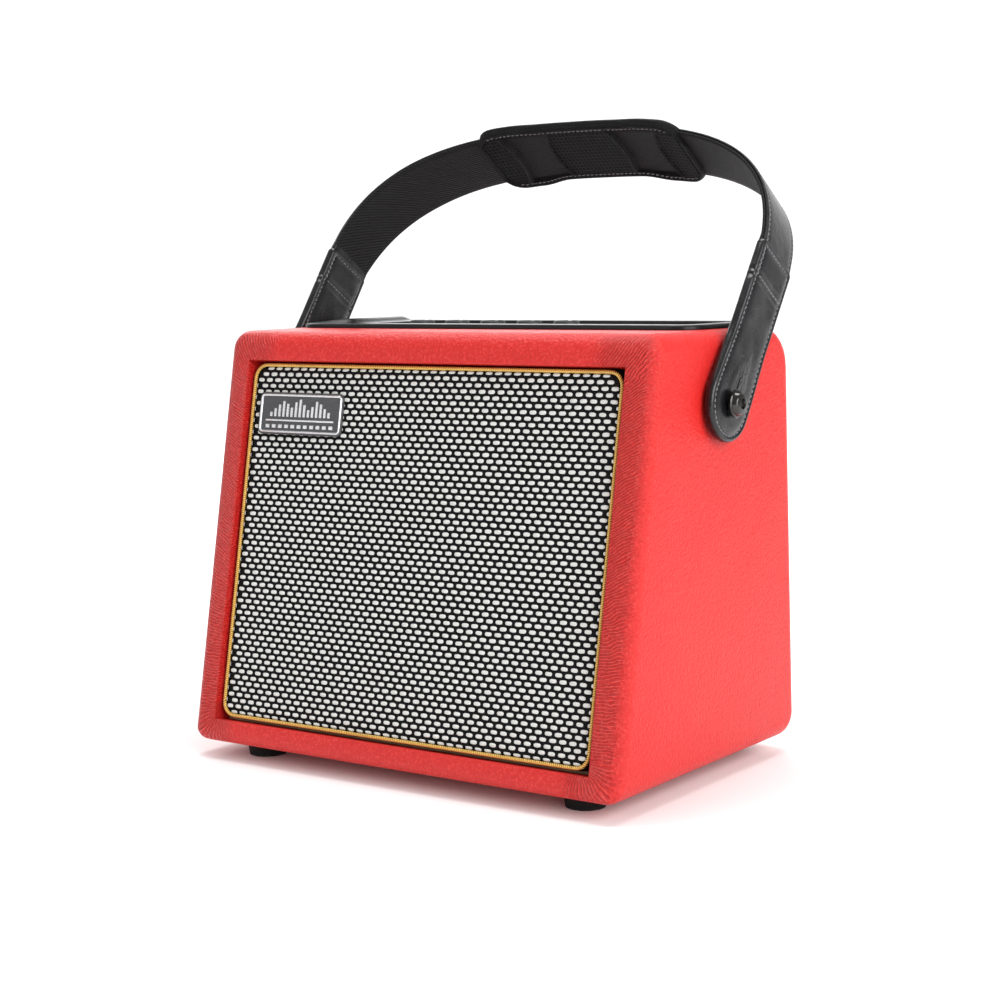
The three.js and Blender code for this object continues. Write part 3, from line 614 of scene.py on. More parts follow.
def repeat_tree():
    """Geometry nodes that set a motif at every point of a mesh, turned to face its way."""
    tree = bpy.data.node_groups.new("repeat_at_points", "GeometryNodeTree")
    for label, kind in (("Points", "Geometry"), ("Motif", "Object"), ("Wobble", "Float"),
                        ("Spread", "Float"), ("Seed", "Int"), ("Material", "Material")):
        tree.interface.new_socket(name=label, in_out="INPUT", socket_type="NodeSocket" + kind)
    tree.interface.new_socket(name="Pieces", in_out="OUTPUT", socket_type="NodeSocketGeometry")
    nodes, links = tree.nodes, tree.links
    given = nodes.new("NodeGroupInput").outputs
    motif = nodes.new("GeometryNodeObjectInfo")
    links.new(given["Motif"], motif.inputs["Object"])
    turn = None
    for label, axis in (("facing", "Z"), ("along", "X")):
        way = nodes.new("GeometryNodeInputNamedAttribute")
        way.data_type = "FLOAT_VECTOR"
        way.inputs["Name"].default_value = label
        aim = nodes.new("FunctionNodeAlignRotationToVector")
        aim.axis = axis
        links.new(way.outputs["Attribute"], aim.inputs["Vector"])
        if turn:
            aim.pivot_axis = "Z"
            links.new(turn, aim.inputs["Rotation"])
        turn = aim.outputs["Rotation"]
    wobble = nodes.new("FunctionNodeRandomValue")
    links.new(given["Wobble"], wobble.inputs["Max"])
    negative = nodes.new("ShaderNodeMath")
    negative.operation = "MULTIPLY"
    negative.inputs[1].default_value = -1
    links.new(given["Wobble"], negative.inputs[0])
    links.new(negative.outputs[0], wobble.inputs["Min"])
    links.new(given["Seed"], wobble.inputs["Seed"])
    spin = nodes.new("FunctionNodeAxisAngleToRotation")
    links.new(next(o for o in wobble.outputs if o.type == "VALUE" and o.enabled), spin.inputs["Angle"])
    turned = nodes.new("FunctionNodeRotateRotation")
    turned.rotation_space = "LOCAL"
    links.new(turn, turned.inputs["Rotation"])
    links.new(spin.outputs["Rotation"], turned.inputs["Rotate By"])
    size = nodes.new("FunctionNodeRandomValue")
    size.inputs["Max"].default_value = 1
    small = nodes.new("ShaderNodeMath")
    small.operation = "SUBTRACT"
    small.inputs[0].default_value = 1
    links.new(given["Spread"], small.inputs[1])
    links.new(small.outputs[0], size.inputs["Min"])
    links.new(given["Seed"], size.inputs["Seed"])
    placed = nodes.new("GeometryNodeInstanceOnPoints")
    links.new(given["Points"], placed.inputs["Points"])
    links.new(motif.outputs["Geometry"], placed.inputs["Instance"])
    links.new(turned.outputs["Rotation"], placed.inputs["Rotation"])
    links.new(next(o for o in size.outputs if o.type == "VALUE" and o.enabled), placed.inputs["Scale"])
    real = nodes.new("GeometryNodeRealizeInstances")
    links.new(placed.outputs["Instances"], real.inputs["Geometry"])
    finish = nodes.new("GeometryNodeSetMaterial")
    links.new(real.outputs["Geometry"], finish.inputs["Geometry"])
    links.new(given["Material"], finish.inputs["Material"])
    links.new(finish.outputs["Geometry"], nodes.new("NodeGroupOutput").inputs["Pieces"])
    return tree


def run_nodes(name, source, tree, **inputs):
    """Evaluate a node tree on a source mesh and keep the plain mesh it makes."""
    holder = bpy.data.objects.new(name + "_source", source)
    scene.collection.objects.link(holder)
    modifier = holder.modifiers.new("nodes", "NODES")
    modifier.node_group = tree
    for item in tree.interface.items_tree:
        label = item.name.replace(" ", "_")
        if item.in_out == "INPUT" and label in inputs:
            modifier[item.identifier] = inputs[label]
    holder.update_tag()
    evaluated = holder.evaluated_get(bpy.context.evaluated_depsgraph_get())
    mesh = bpy.data.meshes.new_from_object(evaluated)
    mesh.name = name
    bpy.data.objects.remove(holder)
    return mesh


REPEAT = repeat_tree()


def repeat(name, motif, spots, paint, wobble=0.0, spread=0.0, seed=1):
    """Copies of a motif mesh at spots given as (point, facing, along), in millimetres."""
    points = bpy.data.meshes.new(name + "_points")
    points.from_pydata([spot[0] * MM for spot in spots], [], [])
    for index, label in ((1, "facing"), (2, "along")):
        ways = points.attributes.new(label, "FLOAT_VECTOR", "POINT")
        ways.data.foreach_set("vector", [number for spot in spots for number in spot[index]])
    model = bpy.data.objects.new(name + "_motif", motif)
    scene.collection.objects.link(model)
    mesh = run_nodes(name, points, REPEAT, Motif=model, Wobble=wobble, Spread=spread, Seed=seed,
                     Material=paint.material)
    bpy.data.objects.remove(model)
    return mesh


def grille_loop(inset, into, steps=(40, 34)):
    """A loop round the grille, so far in from its edge and so far behind the front."""
    low = (-GRILLE_HALF + inset, GRILLE_LOW + inset)
    high = (GRILLE_HALF - inset, GRILLE_HIGH - inset)
    turn = max(GRILLE_TURN - inset, 0.8)
    return [on_front(x, up, into) for x, up in rounded_loop(low, high, [turn] * 4, steps, 5)]


def wrap_section():
    """The cloth's way from its turned-in edge, round the frame, to the flat: (inset, into) pairs."""
    section = [(9, CLOTH_BACK), (0.5, CLOTH_BACK), (0.15, CLOTH_BACK - 0.4), (0.15, 5.6), (0.5, 5.15)]
    for step in range(6):
        turn = math.pi / 2 * step / 5
        section.append((CLOTH_INSET + CLOTH_ROLL * (1 - math.cos(turn)), CLOTH_INTO + 1 - math.sin(turn)))
    return section


def cloth_mesh():
    shape = Shape()
    shape.skin([shape.loop(grille_loop(inset, into)) for inset, into in wrap_section()])
    inner = CLOTH_INSET + CLOTH_ROLL
    low = Vector((-GRILLE_HALF + inner, GRILLE_LOW + inner))
    high = Vector((GRILLE_HALF - inner, GRILLE_HIGH - inner))
    columns, rows = 40, 34
    flat = [shape.loop([on_front(low.x + (high.x - low.x) * column / columns,
                                 low.y + (high.y - low.y) * row / rows, CLOTH_INTO)
                        for column in range(columns + 1)]) for row in range(rows + 1)]
    shape.skin(flat, closed=False)
    return shape.mesh("grille_cloth", 60)


def cloth_paint():
    """Black plain weave: fine yarns both ways, matt, with a little fluff; painted highlights lighten the
    yarn crowns where the fluff noise is high.
    """
    paint = Paint("black_binding_weave", (0.004, 0.004, 0.004), 0.9, specular=0.08)
    up = (paint.z - BASE_Z) / math.cos(FRONT_ANGLE)
    warp = (paint.x * (2 * math.pi / 0.66)).sine()
    weft = (up * (2 * math.pi / 0.71)).sine()
    fluff = paint.noise(0.4, 3)
    yarns = warp.maths("MAXIMUM", warp, weft)
    paint.bump(yarns * 0.7 + fluff * 0.5, 0.22)
    # Painted highlight: the yarn crowns are coloured lighter, patched by the fluff noise.
    paint.feed(Base_Color=paint.blend(yarns.rise(0.2, 1) * fluff, (0.002, 0.002, 0.002),
                                      (0.030, 0.030, 0.032)))
    return paint


def float_paint():
    """Off-white twisted yarn with fine plies, painted shade in the grooves between the plies, and dusty
    ends.
    """
    paint = Paint("off_white_float_yarn", (0.80, 0.80, 0.76), 0.8, specular=0.25)
    plies = ((paint.z * 1.0 + paint.x * 0.35) * (2 * math.pi / 0.36)).sine()
    fluff = paint.noise(0.35, 3)
    dust = paint.noise(14, 2)
    # Painted shade: darker grey in the grooves between the plies, lighter on their crowns; the fluff noise
    # varies the tone at random.
    tone = paint.blend(plies.rise(-1, 0.4) * 0.7 + fluff * 0.3, (0.55, 0.55, 0.53), (0.93, 0.93, 0.90))
    paint.feed(Base_Color=paint.blend(dust.rise(0.55, 0.8) * 0.15, tone, (0.55, 0.54, 0.50)))
    paint.bump(plies * 0.5 + fluff, 0.12)
    return paint


def float_motif():
    """One flattened oval pad of yarn, as wide as its box, standing on z = 0."""
    shape = Shape()
    wide, tall, thick = FLOAT_SIZE
    loops = []
    for size, height in ((1.0, -0.25), (0.98, 0.25), (0.80, 0.75), (0.42, 1.0)):
        ring = []
        for step in range(12):
            turn = 2 * math.pi * step / 12
            across = math.copysign(abs(math.cos(turn)) ** 0.62, math.cos(turn))
            rise = math.copysign(abs(math.sin(turn)) ** 0.8, math.sin(turn))
            ring.append((across * wide / 2 * size, rise * tall / 2 * size, height * thick))
        loops.append(shape.loop(ring))
    shape.skin(loops)
    shape.cap(loops[-1])
    return shape.mesh("float_motif", 80)


def float_spots():
    """Rows of floats, every other row half a pitch along, sinking where the cloth rolls."""
    spots = []
    low, high = GRILLE_LOW + CLOTH_INSET + 0.35, GRILLE_HIGH - CLOTH_INSET - 0.35
    half = GRILLE_HALF - CLOTH_INSET + 0.5
    rows = int((high - low) / FLOAT_ROW)
    for row in range(rows + 1):
        up = low + (high - low) * row / rows
        count = int(2 * half / FLOAT_PITCH)
        start = -count * FLOAT_PITCH / 2 - (FLOAT_PITCH / 2 if row % 2 else 0)
        for column in range(count + 2):
            x = start + column * FLOAT_PITCH
            if abs(x) > half:
                continue
            gap_x = GRILLE_HALF - CLOTH_INSET - abs(x)
            gap_up = min(up - GRILLE_LOW, GRILLE_HIGH - up) - CLOTH_INSET
            if gap_x + gap_up < 3.0:
                continue
            fall_x = max(0, 1 - gap_x / CLOTH_ROLL)
            fall_up = max(0, 1 - gap_up / CLOTH_ROLL)
            fall = max(fall_x, fall_up)
            sink = 1 - math.sqrt(max(0, 1 - fall * fall))
            tip = math.asin(min(1, fall)) * 0.75
            side = math.copysign(1, x) if fall_x > fall_up else 0
            rise = 0 if side else math.copysign(1, up - (low + high) / 2)
            lean = Vector((side, 0, 0)) + UP_FRONT * rise
            facing = -INTO_FRONT * math.cos(tip) + lean * math.sin(tip)
            spots.append((on_front(x, up, CLOTH_INTO + sink - 0.02), facing, Vector((1, 0, 0))))
    return spots


floats_mesh = repeat("grille_cloth_floats", float_motif(), float_spots(), float_paint(), 0.05, 0.05, 4)
cloth_floats = bpy.data.objects.new("grille_cloth_floats", floats_mesh)
scene.collection.objects.link(cloth_floats)
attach(cloth_floats, "cabinet")
grille_cloth = place_piece("grille_cloth_weave", cloth_mesh(), cloth_paint(), "cabinet",
                           ["grille_cloth"])

# ---- Gold piping ----------------------------------------------------------------------
# A bright gold cord of two twisted strands, glued round the edge of the cloth in the
# step of the frame.

CORD_INSET = 1.35
CORD_INTO = 3.75
CORD_STRANDS = 2
CORD_STRAND_RADIUS = 0.50
CORD_OFFSET = 0.46
CORD_PITCH = 2.1


def cord_tree():
    """Geometry nodes that wind strands round a closed path that lies in one plane."""
    tree = bpy.data.node_groups.new("twisted_cord", "GeometryNodeTree")
    for label, kind in (("Path", "Geometry"), ("Strands", "Int"), ("Strand Radius", "Float"),
                        ("Offset", "Float"), ("Pitch", "Float"), ("Step", "Float"),
                        ("Facing", "Vector"), ("Sides", "Int"), ("Material", "Material")):
        tree.interface.new_socket(name=label, in_out="INPUT", socket_type="NodeSocket" + kind)
    tree.interface.new_socket(name="Cord", in_out="OUTPUT", socket_type="NodeSocketGeometry")
    nodes, links = tree.nodes, tree.links
    given = nodes.new("NodeGroupInput").outputs

    def step(kind, *joins, **settings):
        made = nodes.new(kind)
        for setting, choice in settings.items():
            setattr(made, setting, choice)
        for socket, item in joins:
            if isinstance(item, bpy.types.NodeSocket):
                links.new(item, made.inputs[socket])
            else:
                made.inputs[socket].default_value = item
        return made

    def maths(operation, one, other=0.0):
        return step("ShaderNodeMath", (0, one), (1, other), operation=operation).outputs[0]

    def scaled(vector, amount):
        return step("ShaderNodeVectorMath", ("Vector", vector), ("Scale", amount),
                    operation="SCALE").outputs[0]

    curve = step("GeometryNodeMeshToCurve", ("Mesh", given["Path"])).outputs[0]
    even = step("GeometryNodeResampleCurve", ("Curve", curve), ("Length", given["Step"]),
                mode="LENGTH").outputs[0]
    copies = step("GeometryNodeDuplicateElements", ("Geometry", even), ("Amount", given["Strands"]),
                  domain="SPLINE")
    length = nodes.new("GeometryNodeSplineParameter").outputs["Length"]
    share = maths("DIVIDE", copies.outputs["Duplicate Index"], given["Strands"])
    turn = maths("MULTIPLY", maths("ADD", maths("DIVIDE", length, given["Pitch"]), share), 2 * math.pi)
    tangent = nodes.new("GeometryNodeInputTangent").outputs[0]
    side = step("ShaderNodeVectorMath", (0, tangent), (1, given["Facing"]),
                operation="CROSS_PRODUCT").outputs[0]
    rise = scaled(given["Facing"], maths("MULTIPLY", maths("COSINE", turn), given["Offset"]))
    drift = scaled(side, maths("MULTIPLY", maths("SINE", turn), given["Offset"]))
    moved = step("ShaderNodeVectorMath", (0, rise), (1, drift), operation="ADD").outputs[0]
    wound = step("GeometryNodeSetPosition", ("Geometry", copies.outputs["Geometry"]),
                 ("Offset", moved)).outputs[0]
    ring = step("GeometryNodeCurvePrimitiveCircle", ("Resolution", given["Sides"]),
                ("Radius", given["Strand Radius"]))
    solid = step("GeometryNodeCurveToMesh", ("Curve", wound),
                 ("Profile Curve", ring.outputs["Curve"])).outputs[0]
    real = step("GeometryNodeRealizeInstances", ("Geometry", solid)).outputs[0]
    done = step("GeometryNodeSetMaterial", ("Geometry", real), ("Material", given["Material"])).outputs[0]
    links.new(done, nodes.new("NodeGroupOutput").inputs["Cord"])
    return tree


def gold_paint():
    """Metallic gold yarn, bright where the strand crowns, with painted shade: dark brown in the grooves
    between the strands.
    """
    paint = Paint("gold_cord", (0.86, 0.50, 0.10), 0.3, metallic=0.6)
    # Distance from the cord's axis; near it, in the grooves between the strands, the colour is painted
    # shade.
    crown = paint.lay()[0].rise(0.62, 0.93)
    fibres = paint.noise(0.22, 3)
    tarnish = paint.noise(18, 2)
    tone = paint.blend(fibres.rise(0.3, 0.75), (0.80, 0.42, 0.06), (1.0, 0.74, 0.26))
    tone = paint.blend(tarnish.rise(0.5, 0.8) * 0.35, tone, (0.42, 0.22, 0.05))
    paint.feed(Base_Color=paint.blend(crown, (0.20, 0.08, 0.012), tone), Roughness=0.26 + fibres * 0.2)
    paint.bump(fibres, 0.08)
    return paint


cord_path = bpy.data.meshes.new("cord_path")
cord_points = grille_loop(CORD_INSET, CORD_INTO, (60, 50))
cord_axis = [one.lerp(other, step / 12) for one,
             other in zip(cord_points, cord_points[1:] + cord_points[:1])
             for step in range(12)]
cord_path.from_pydata([point * MM for point in cord_points],
                      [(index, (index + 1) % len(cord_points)) for index in range(len(cord_points))], [])
gold = gold_paint()
cord = run_nodes("gold_piping", cord_path, cord_tree(), Strands=CORD_STRANDS,
                 Strand_Radius=CORD_STRAND_RADIUS * MM, Offset=CORD_OFFSET * MM, Pitch=CORD_PITCH * MM,
                 Step=0.19 * MM, Facing=tuple(-INTO_FRONT), Sides=6, Material=gold.material)
cord.shade_smooth()
cord_line = KDTree(len(cord_axis))
for index, point in enumerate(cord_axis):
    cord_line.insert(point, index)
cord_line.balance()
# Each point's distance from the cord's axis, which the gold paint turns into painted shade in the grooves.
crown = cord.attributes.new("lay", "FLOAT_VECTOR", "POINT")
for index, vertex in enumerate(cord.vertices):
    crown.data[index].vector = (cord_line.find(vertex.co / MM)[2], 0, 0)
place_piece("gold_piping", cord, gold, "cabinet", ["grille_piping"])

# ---- Badge ----------------------------------------------------------------------------
# A dark brushed plate in the upper corner of the grille, held on by two pins, with a
# raised silver rim and raised silver marks: a row of level bars, a line and a row of dots.

BADGE_X = -74.5
BADGE_UP = 163.7
BADGE_SIZE = (52.7, 20.6)
BADGE_TURN = 3
BADGE_BACK = 3.6
BADGE_PLATE = 1.2
BADGE_RIM = 1.25
BADGE_EDGE = 0.75
LEVELS = (2.2, 4.0, 5.8, 7.6, 6.4, 4.6, 7.2, 8.6, 6.0, 3.6, 5.2, 7.8, 6.6, 4.4, 2.6)


def badge_loop(inset, raised):
    half = Vector(BADGE_SIZE) / 2
    points = rounded_loop((-half.x + inset, -half.y + inset), (half.x - inset, half.y - inset),
                          [max(BADGE_TURN - inset, 0.5)] * 4, (12, 6), 5)
    return [on_front(BADGE_X + x, BADGE_UP + up, BADGE_BACK - raised) for x, up in points]


def badge_plate_mesh():
    shape = Shape()
    levels = ((0.1, 0), (0, 0.15), (0, BADGE_PLATE - 0.2), (0.2, BADGE_PLATE), (1.0, BADGE_PLATE))
    shape.solid([shape.loop(badge_loop(inset, raised)) for inset, raised in levels])
    return shape.mesh("badge_plate")


def badge_rim_mesh():
    """A rounded rim, domed across its width."""
    shape = Shape()
    section = [(0, 0.1), (0, 1.0), (0.12, 1.4), (0.42, 1.66), (0.85, 1.66), (1.13, 1.45), (BADGE_RIM, 1.1),
               (BADGE_RIM, 0.1)]
    loops = [shape.loop(badge_loop(BADGE_EDGE + inset, raised)) for inset, raised in section]
    shape.skin(loops + loops[:1])
    return shape.mesh("badge_rim", 40)


def badge_bar(shape, x, up, wide, tall):
    """A raised block with bevelled sides."""
    loops = []
    for inset, raised in ((0, 1.0), (0, 1.45), (0.18, 1.62)):
        corners = rounded_loop((x - wide / 2 + inset, up - tall / 2 + inset),
                               (x + wide / 2 - inset, up + tall / 2 - inset), [0.22] * 4, (1, 1), 2)
        loops.append(shape.loop([on_front(BADGE_X + a, BADGE_UP + b, BADGE_BACK - raised) for a,
                                 b in corners]))
    shape.skin(loops)
    shape.cap(loops[-1])


def badge_marks_mesh():
    shape = Shape()
    for index, level in enumerate(LEVELS):
        badge_bar(shape, -18.2 + index * 2.6, -1.6 + level / 2, 1.5, level)
    badge_bar(shape, 0, -3.4, 43, 0.8)
    for index in range(11):
        badge_bar(shape, -20 + index * 4, -6.3, 2.4, 1.7)
    return shape.mesh("badge_marks", 30)


def silver_paint():
    """Bright plating over a cast part, with faint polishing lines."""
    paint = Paint("silver_plate", (0.82, 0.82, 0.84), 0.22, metallic=1.0)
    lines = paint.noise(0.3, 3, paint.vector(paint.x * 0.2, paint.y, paint.z))
    wear = paint.noise(6, 3)
    paint.feed(Roughness=0.16 + lines * 0.18 + wear * 0.08,
               Base_Color=paint.blend(wear, (0.86, 0.86, 0.88), (0.66, 0.66, 0.68)))
    paint.bump(lines, 0.03)
    return paint


def badge_paint():
    """Dark grey plate brushed from end to end."""
    paint = Paint("brushed_dark_plate", (0.075, 0.075, 0.078), 0.42, metallic=0.6)
    brushed = paint.noise(0.16, 4, paint.vector(paint.x * 0.03, paint.y, paint.z))
    paint.feed(Base_Color=paint.blend(brushed, (0.05, 0.05, 0.052), (0.13, 0.13, 0.135)),
               Roughness=0.34 + brushed * 0.2)
    paint.bump(brushed, 0.03)
    return paint


silver = silver_paint()
place_piece("badge_plate", badge_plate_mesh(), badge_paint(), "cabinet", ["badge_plate"])
place_piece("badge_rim", badge_rim_mesh(), silver, "cabinet", ["badge_rim"])
place_piece("badge_marks", badge_marks_mesh(), silver, "cabinet")

# ---- Feet -----------------------------------------------------------------------------
# Four moulded rubber feet under the corners. Each has a dished sole, a round groove and a
# countersunk screw up into the bottom board.

FOOT_NODES = ("foot_front_left", "foot_front_right", "foot_back_left", "foot_back_right")
FOOT_SECTION = [(3.2, 3.8), (3.2, 1.0), (3.7, 0.55), (6.4, 0.5), (6.9, 0.1), (8.8, 0.0), (9.05, 0.12),
                (9.15, 0.45),
                (9.55, 3.4), (9.75, 5.0), (9.6, 5.15), (9.6, 5.4), (9.85, 5.55), (10.15, 7.0), (10.1, 7.3),
                (9.6, 7.4)]


def turned_shape(section, centre, steps=40, turn=None, shape=None):
    """Turn a section of (radius, height) pairs about an upright axis, which may be turned."""
    shape = shape or Shape()
    turn = turn or Matrix.Identity(3)
    loops = []
    for radius, height in section:
        ring = [turn @ Vector((radius * math.cos(2 * math.pi * step / steps),
                               radius * math.sin(2 * math.pi * step / steps), height)) + centre
                for step in range(steps)]
        loops.append(shape.loop(ring,
                                [(2 * math.pi * step / steps, radius, height) for step in range(steps)]))
    shape.skin(loops)
    for loop, (radius, height) in ((loops[0], section[0]), (loops[-1], section[-1])):
        if radius > 0.05:
            shape.cap(loop)
    return shape


def screw_motif(radius=2.6):
    """A countersunk cross-head screw head that faces up, its rim at z = 0."""
    section = [(radius, -0.9), (radius, 0.0), (radius - 0.15, 0.18), (radius * 0.45, 0.34)]
    shape = turned_shape(section, Vector((0, 0, 0)), 20)
    # The cross recess is not cut: two flat strips just over the head carry its painted shade.
    arm, gap, depth = radius * 0.52, radius * 0.14, 0.36
    for spin in (0, math.pi / 2):
        turn = Matrix.Rotation(spin, 3, "Z")
        corners = [(-arm, -gap), (arm, -gap), (arm, gap), (-arm, gap)]
        shape.cap(shape.loop([turn @ Vector((a, b, depth)) for a, b in corners], [(-1, 0, 0)] * 4))
    return shape.mesh("screw_motif", 30)


def rubber_paint():
    """Moulded black rubber, matt, dusty and scuffed on the sole."""
    paint = Paint("foot_rubber", (0.010, 0.010, 0.010), 0.75, specular=0.15)
    dust = paint.noise(3, 4)
    scuff = (1 - (paint.z * 1.0).rise(0, 1.2)) * dust.rise(0.45, 0.7)
    paint.feed(Base_Color=paint.blend(scuff, (0.012, 0.012, 0.012), (0.10, 0.095, 0.09)),
               Roughness=0.62 + dust * 0.25)
    paint.bump(paint.noise(0.5, 3), 0.08)
    return paint


def screw_paint():
    """Zinc-plated screw heads; the cross recess is painted shade, a flat cross coloured near black."""
    paint = Paint("plated_screw", (0.50, 0.50, 0.50), 0.32, metallic=1.0)
    marks = paint.noise(0.4, 3)
    # Painted shade: the flat cross strips stand for the shaded recess and are coloured near black.
    recess = paint.lay()[0] * -1
    paint.feed(Base_Color=paint.blend(recess.rise(0.1, 0.5), (0.52, 0.52, 0.53), (0.02, 0.02, 0.02)),
               Roughness=0.26 + marks * 0.2)
    paint.bump(marks, 0.04)
    return paint


rubber = rubber_paint()
screw_steel = screw_paint()
foot_spots = []
for foot in FOOT_NODES:
    low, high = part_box(foot)
    middle = Vector(((low.x + high.x) / 2, (low.y + high.y) / 2, 0)) / MM
    place_piece("visual_" + foot, turned_shape(FOOT_SECTION, middle).mesh(foot, 40), rubber, "cabinet",
                [foot])
    foot_spots.append((middle + Vector((0, 0, 1.6)), Vector((0, 0, -1)), Vector((1, 0.3, 0))))
place_piece("foot_screws", repeat("foot_screws", screw_motif(), foot_spots, screw_steel), screw_steel,
            "cabinet")

# ---- Strap buttons --------------------------------------------------------------------
# Two turned black nickel buttons, screwed into the sides of the cabinet. Each has a wide
# collar, a waist for the strap and a domed head with a round recess.

BUTTON_BACK = 91
BUTTON_UP = 167
BUTTON_SECTION = [(6.4, -0.4), (6.4, 0.5), (6.0, 0.95), (3.4, 1.1), (3.0, 1.6), (3.0, 7.2), (3.4, 7.8),
                  (6.1, 8.0),
                  (6.5, 8.35), (6.5, 9.3), (6.1, 9.75), (5.6, 9.8), (5.4, 10.3), (5.1, 11.3), (4.5, 11.95),
                  (3.2, 12.25), (2.4, 12.3), (2.0, 11.2), (0.02, 11.1)]


def nickel_paint():
    """Black nickel plate: dark, mirror-like, with faint turning rings."""
    paint = Paint("black_nickel", (0.055, 0.052, 0.05), 0.16, metallic=1.0, coat=0.3)
    rings = paint.noise(0.5, 3)
    paint.feed(Roughness=0.12 + rings * 0.14)
    paint.bump(rings, 0.02)
    return paint


nickel = nickel_paint()
for side, label in ((-1, "left"), (1, "right")):
    turn = Matrix.Rotation(side * math.pi / 2, 3, "Y")
    button = turned_shape(BUTTON_SECTION, at(side * WIDTH / 2, BUTTON_BACK, BUTTON_UP), 48, turn)
    place_piece("visual_strap_button_" + label, button.mesh("strap_button_" + label, 30), nickel, "cabinet",
                ["strap_button_" + label])

# ---- Strap webbing --------------------------------------------------------------------
# One band of ribbed black nylon webbing, narrower where it runs down into the end tabs.
# It makes the arch from tab to tab in a plane that leans back through both buttons.

STRAP_TILT = math.radians(35)
STRAP_UP = Vector((0, math.sin(STRAP_TILT), math.cos(STRAP_TILT)))
STRAP_NEAR = Vector((0, -math.cos(STRAP_TILT), math.sin(STRAP_TILT)))
LEG_OUT = 128.15
ARCH_FOOT = 62
ARCH_RISE = 85
ARCH_LEAN = 1.5
ARCH_POWER = 2.7
WEB_HALF = 0.75


def on_strap(x, up, near):
    """A point of the strap's plane: across, up from the buttons, and toward the front."""
    return at(x, BUTTON_BACK, BUTTON_UP) + STRAP_UP * up + STRAP_NEAR * near


def arch_point(turn):
    total = (abs(math.cos(turn)) ** ARCH_POWER + abs(math.sin(turn)) ** ARCH_POWER) ** (1 / ARCH_POWER)
    across, up = math.cos(turn) / total, math.sin(turn) / total
    return Vector((across * LEG_OUT + ARCH_LEAN * up * up, ARCH_FOOT + ARCH_RISE * up))


def strap_path(foot, step=1.6):
    """Even stations along the strap as (point, outward, distance from the top), left to right."""
    line = [Vector((-LEG_OUT, foot))]
    line.extend(arch_point(math.pi * (1 - turn / 400)) for turn in range(401))
    line.append(Vector((LEG_OUT, foot)))
    run = [0.0]
    for one, other in zip(line, line[1:]):
        run.append(run[-1] + (other - one).length)
    middle = run[201]
    count = int(run[-1] / step)
    stations = []
    index = 0
    for place in range(count + 1):
        target = run[-1] * place / count
        while index < len(run) - 2 and run[index + 1] < target:
            index += 1
        share = (target - run[index]) / (run[index + 1] - run[index])
        stations.append((line[index].lerp(line[index + 1], share), target - middle))
    path = []
    for index, (point, place) in enumerate(stations):
        before = stations[max(index - 1, 0)][0]
        after = stations[min(index + 1, count)][0]
        along = (after - before).normalized()
        path.append((point, Vector((-along.y, along.x)), place))
    return path


def band_mesh(name, path, width_at, section, sharp=50):
    """Sweep a section of (share of half width, offset outward) along the strap."""
    shape = Shape()
    loops = []
    for point, outward, place in path:
        half = width_at(point.y) / 2
        loop = [(point + outward * offset, share * half) for share, offset in section]
        loops.append(shape.loop([on_strap(spot.x, spot.y, near) for spot, near in loop],
                                [(place, near, 0) for spot, near in loop]))
    shape.solid(loops)
    return shape.mesh(name, sharp)


def web_width(height):
    """Full width over the arch, drawn in toward the tabs."""
    return 30 + 4.5 * min(1, max(0, (height - 84) / 45)) ** 0.8


def webbing_paint():
    """Black nylon with slanting ribs, a fine selvedge and a soft sheen; painted highlights lighten the rib
    crests.
    """
    paint = Paint("ribbed_nylon_webbing", (0.008, 0.008, 0.009), 0.6, specular=0.16)
    along, across, side = paint.lay()
    ribs = ((along + across * 0.9) * (2 * math.pi / 2.1)).sine()
    yarns = ((along - across * 0.5) * (2 * math.pi / 0.62)).sine()
    edge = abs(across).rise(13.6, 14.6)
    fluff = paint.noise(0.6, 3)
    height = ribs * (1 - edge) * 0.8 + yarns * 0.15 + fluff * 0.25
    paint.bump(height, 0.32)
    # Painted highlight: the rib crests are coloured lighter, with the fluff noise mixed in.
    paint.feed(Base_Color=paint.blend(ribs.rise(-0.6, 0.9) * 0.6 + fluff * 0.3, (0.002, 0.002, 0.002),
                                      (0.022, 0.022, 0.024)),
               Roughness=0.5 + fluff * 0.25)
    return paint


web_section = [(-0.97, -WEB_HALF), (-1, -0.3), (-1, 0.3), (-0.97, WEB_HALF)]
web_section += [(share / 6, WEB_HALF) for share in range(-5, 6)]
web_section += [(0.97, WEB_HALF), (1, 0.3), (1, -0.3), (0.97, -WEB_HALF)]
web_section += [(-share / 6, -WEB_HALF) for share in range(-5, 6)]
web_body = band_mesh("strap_webbing", strap_path(36), web_width, web_section)
webbing = webbing_paint()
place_piece("ribbed_webbing", web_body, webbing, "strap", ["strap_webbing"])

# ---- Strap lining ---------------------------------------------------------------------
# A glossy black leather band stitched along both edges to the outside of the webbing,
# under the shoulder pad and down to the tabs.

LINING_LOW = 78
STITCH_INSET = 2.3
STITCH_PITCH = 2.6
STITCH_LENGTH = 1.9


def black_leather_paint():
    """Glossy black leather: fine grain and soft wrinkles, painted darker in the wrinkle hollows as shade
    and lighter on the crests as highlight.
    """
    paint = Paint("glossy_black_leather", (0.006, 0.006, 0.007), 0.26, coat=0.35, coat_roughness=0.25)
    grain = paint.cells(0.8, feature="SMOOTH_F1")
    wrinkle = paint.noise(5, 4)
    swell = paint.noise(16, 2)
    paint.bump(grain * 0.05 + wrinkle * 0.30 + swell * 1.2, 0.7)
    # Painted shade and highlight: darker in the wrinkle hollows, lighter on the crests.
    paint.feed(Base_Color=paint.blend(wrinkle.rise(0.45, 0.75), (0.004, 0.004, 0.005),
                                      (0.014, 0.014, 0.016)),
               Roughness=0.20 + grain * 0.12 + wrinkle * 0.14)
    return paint


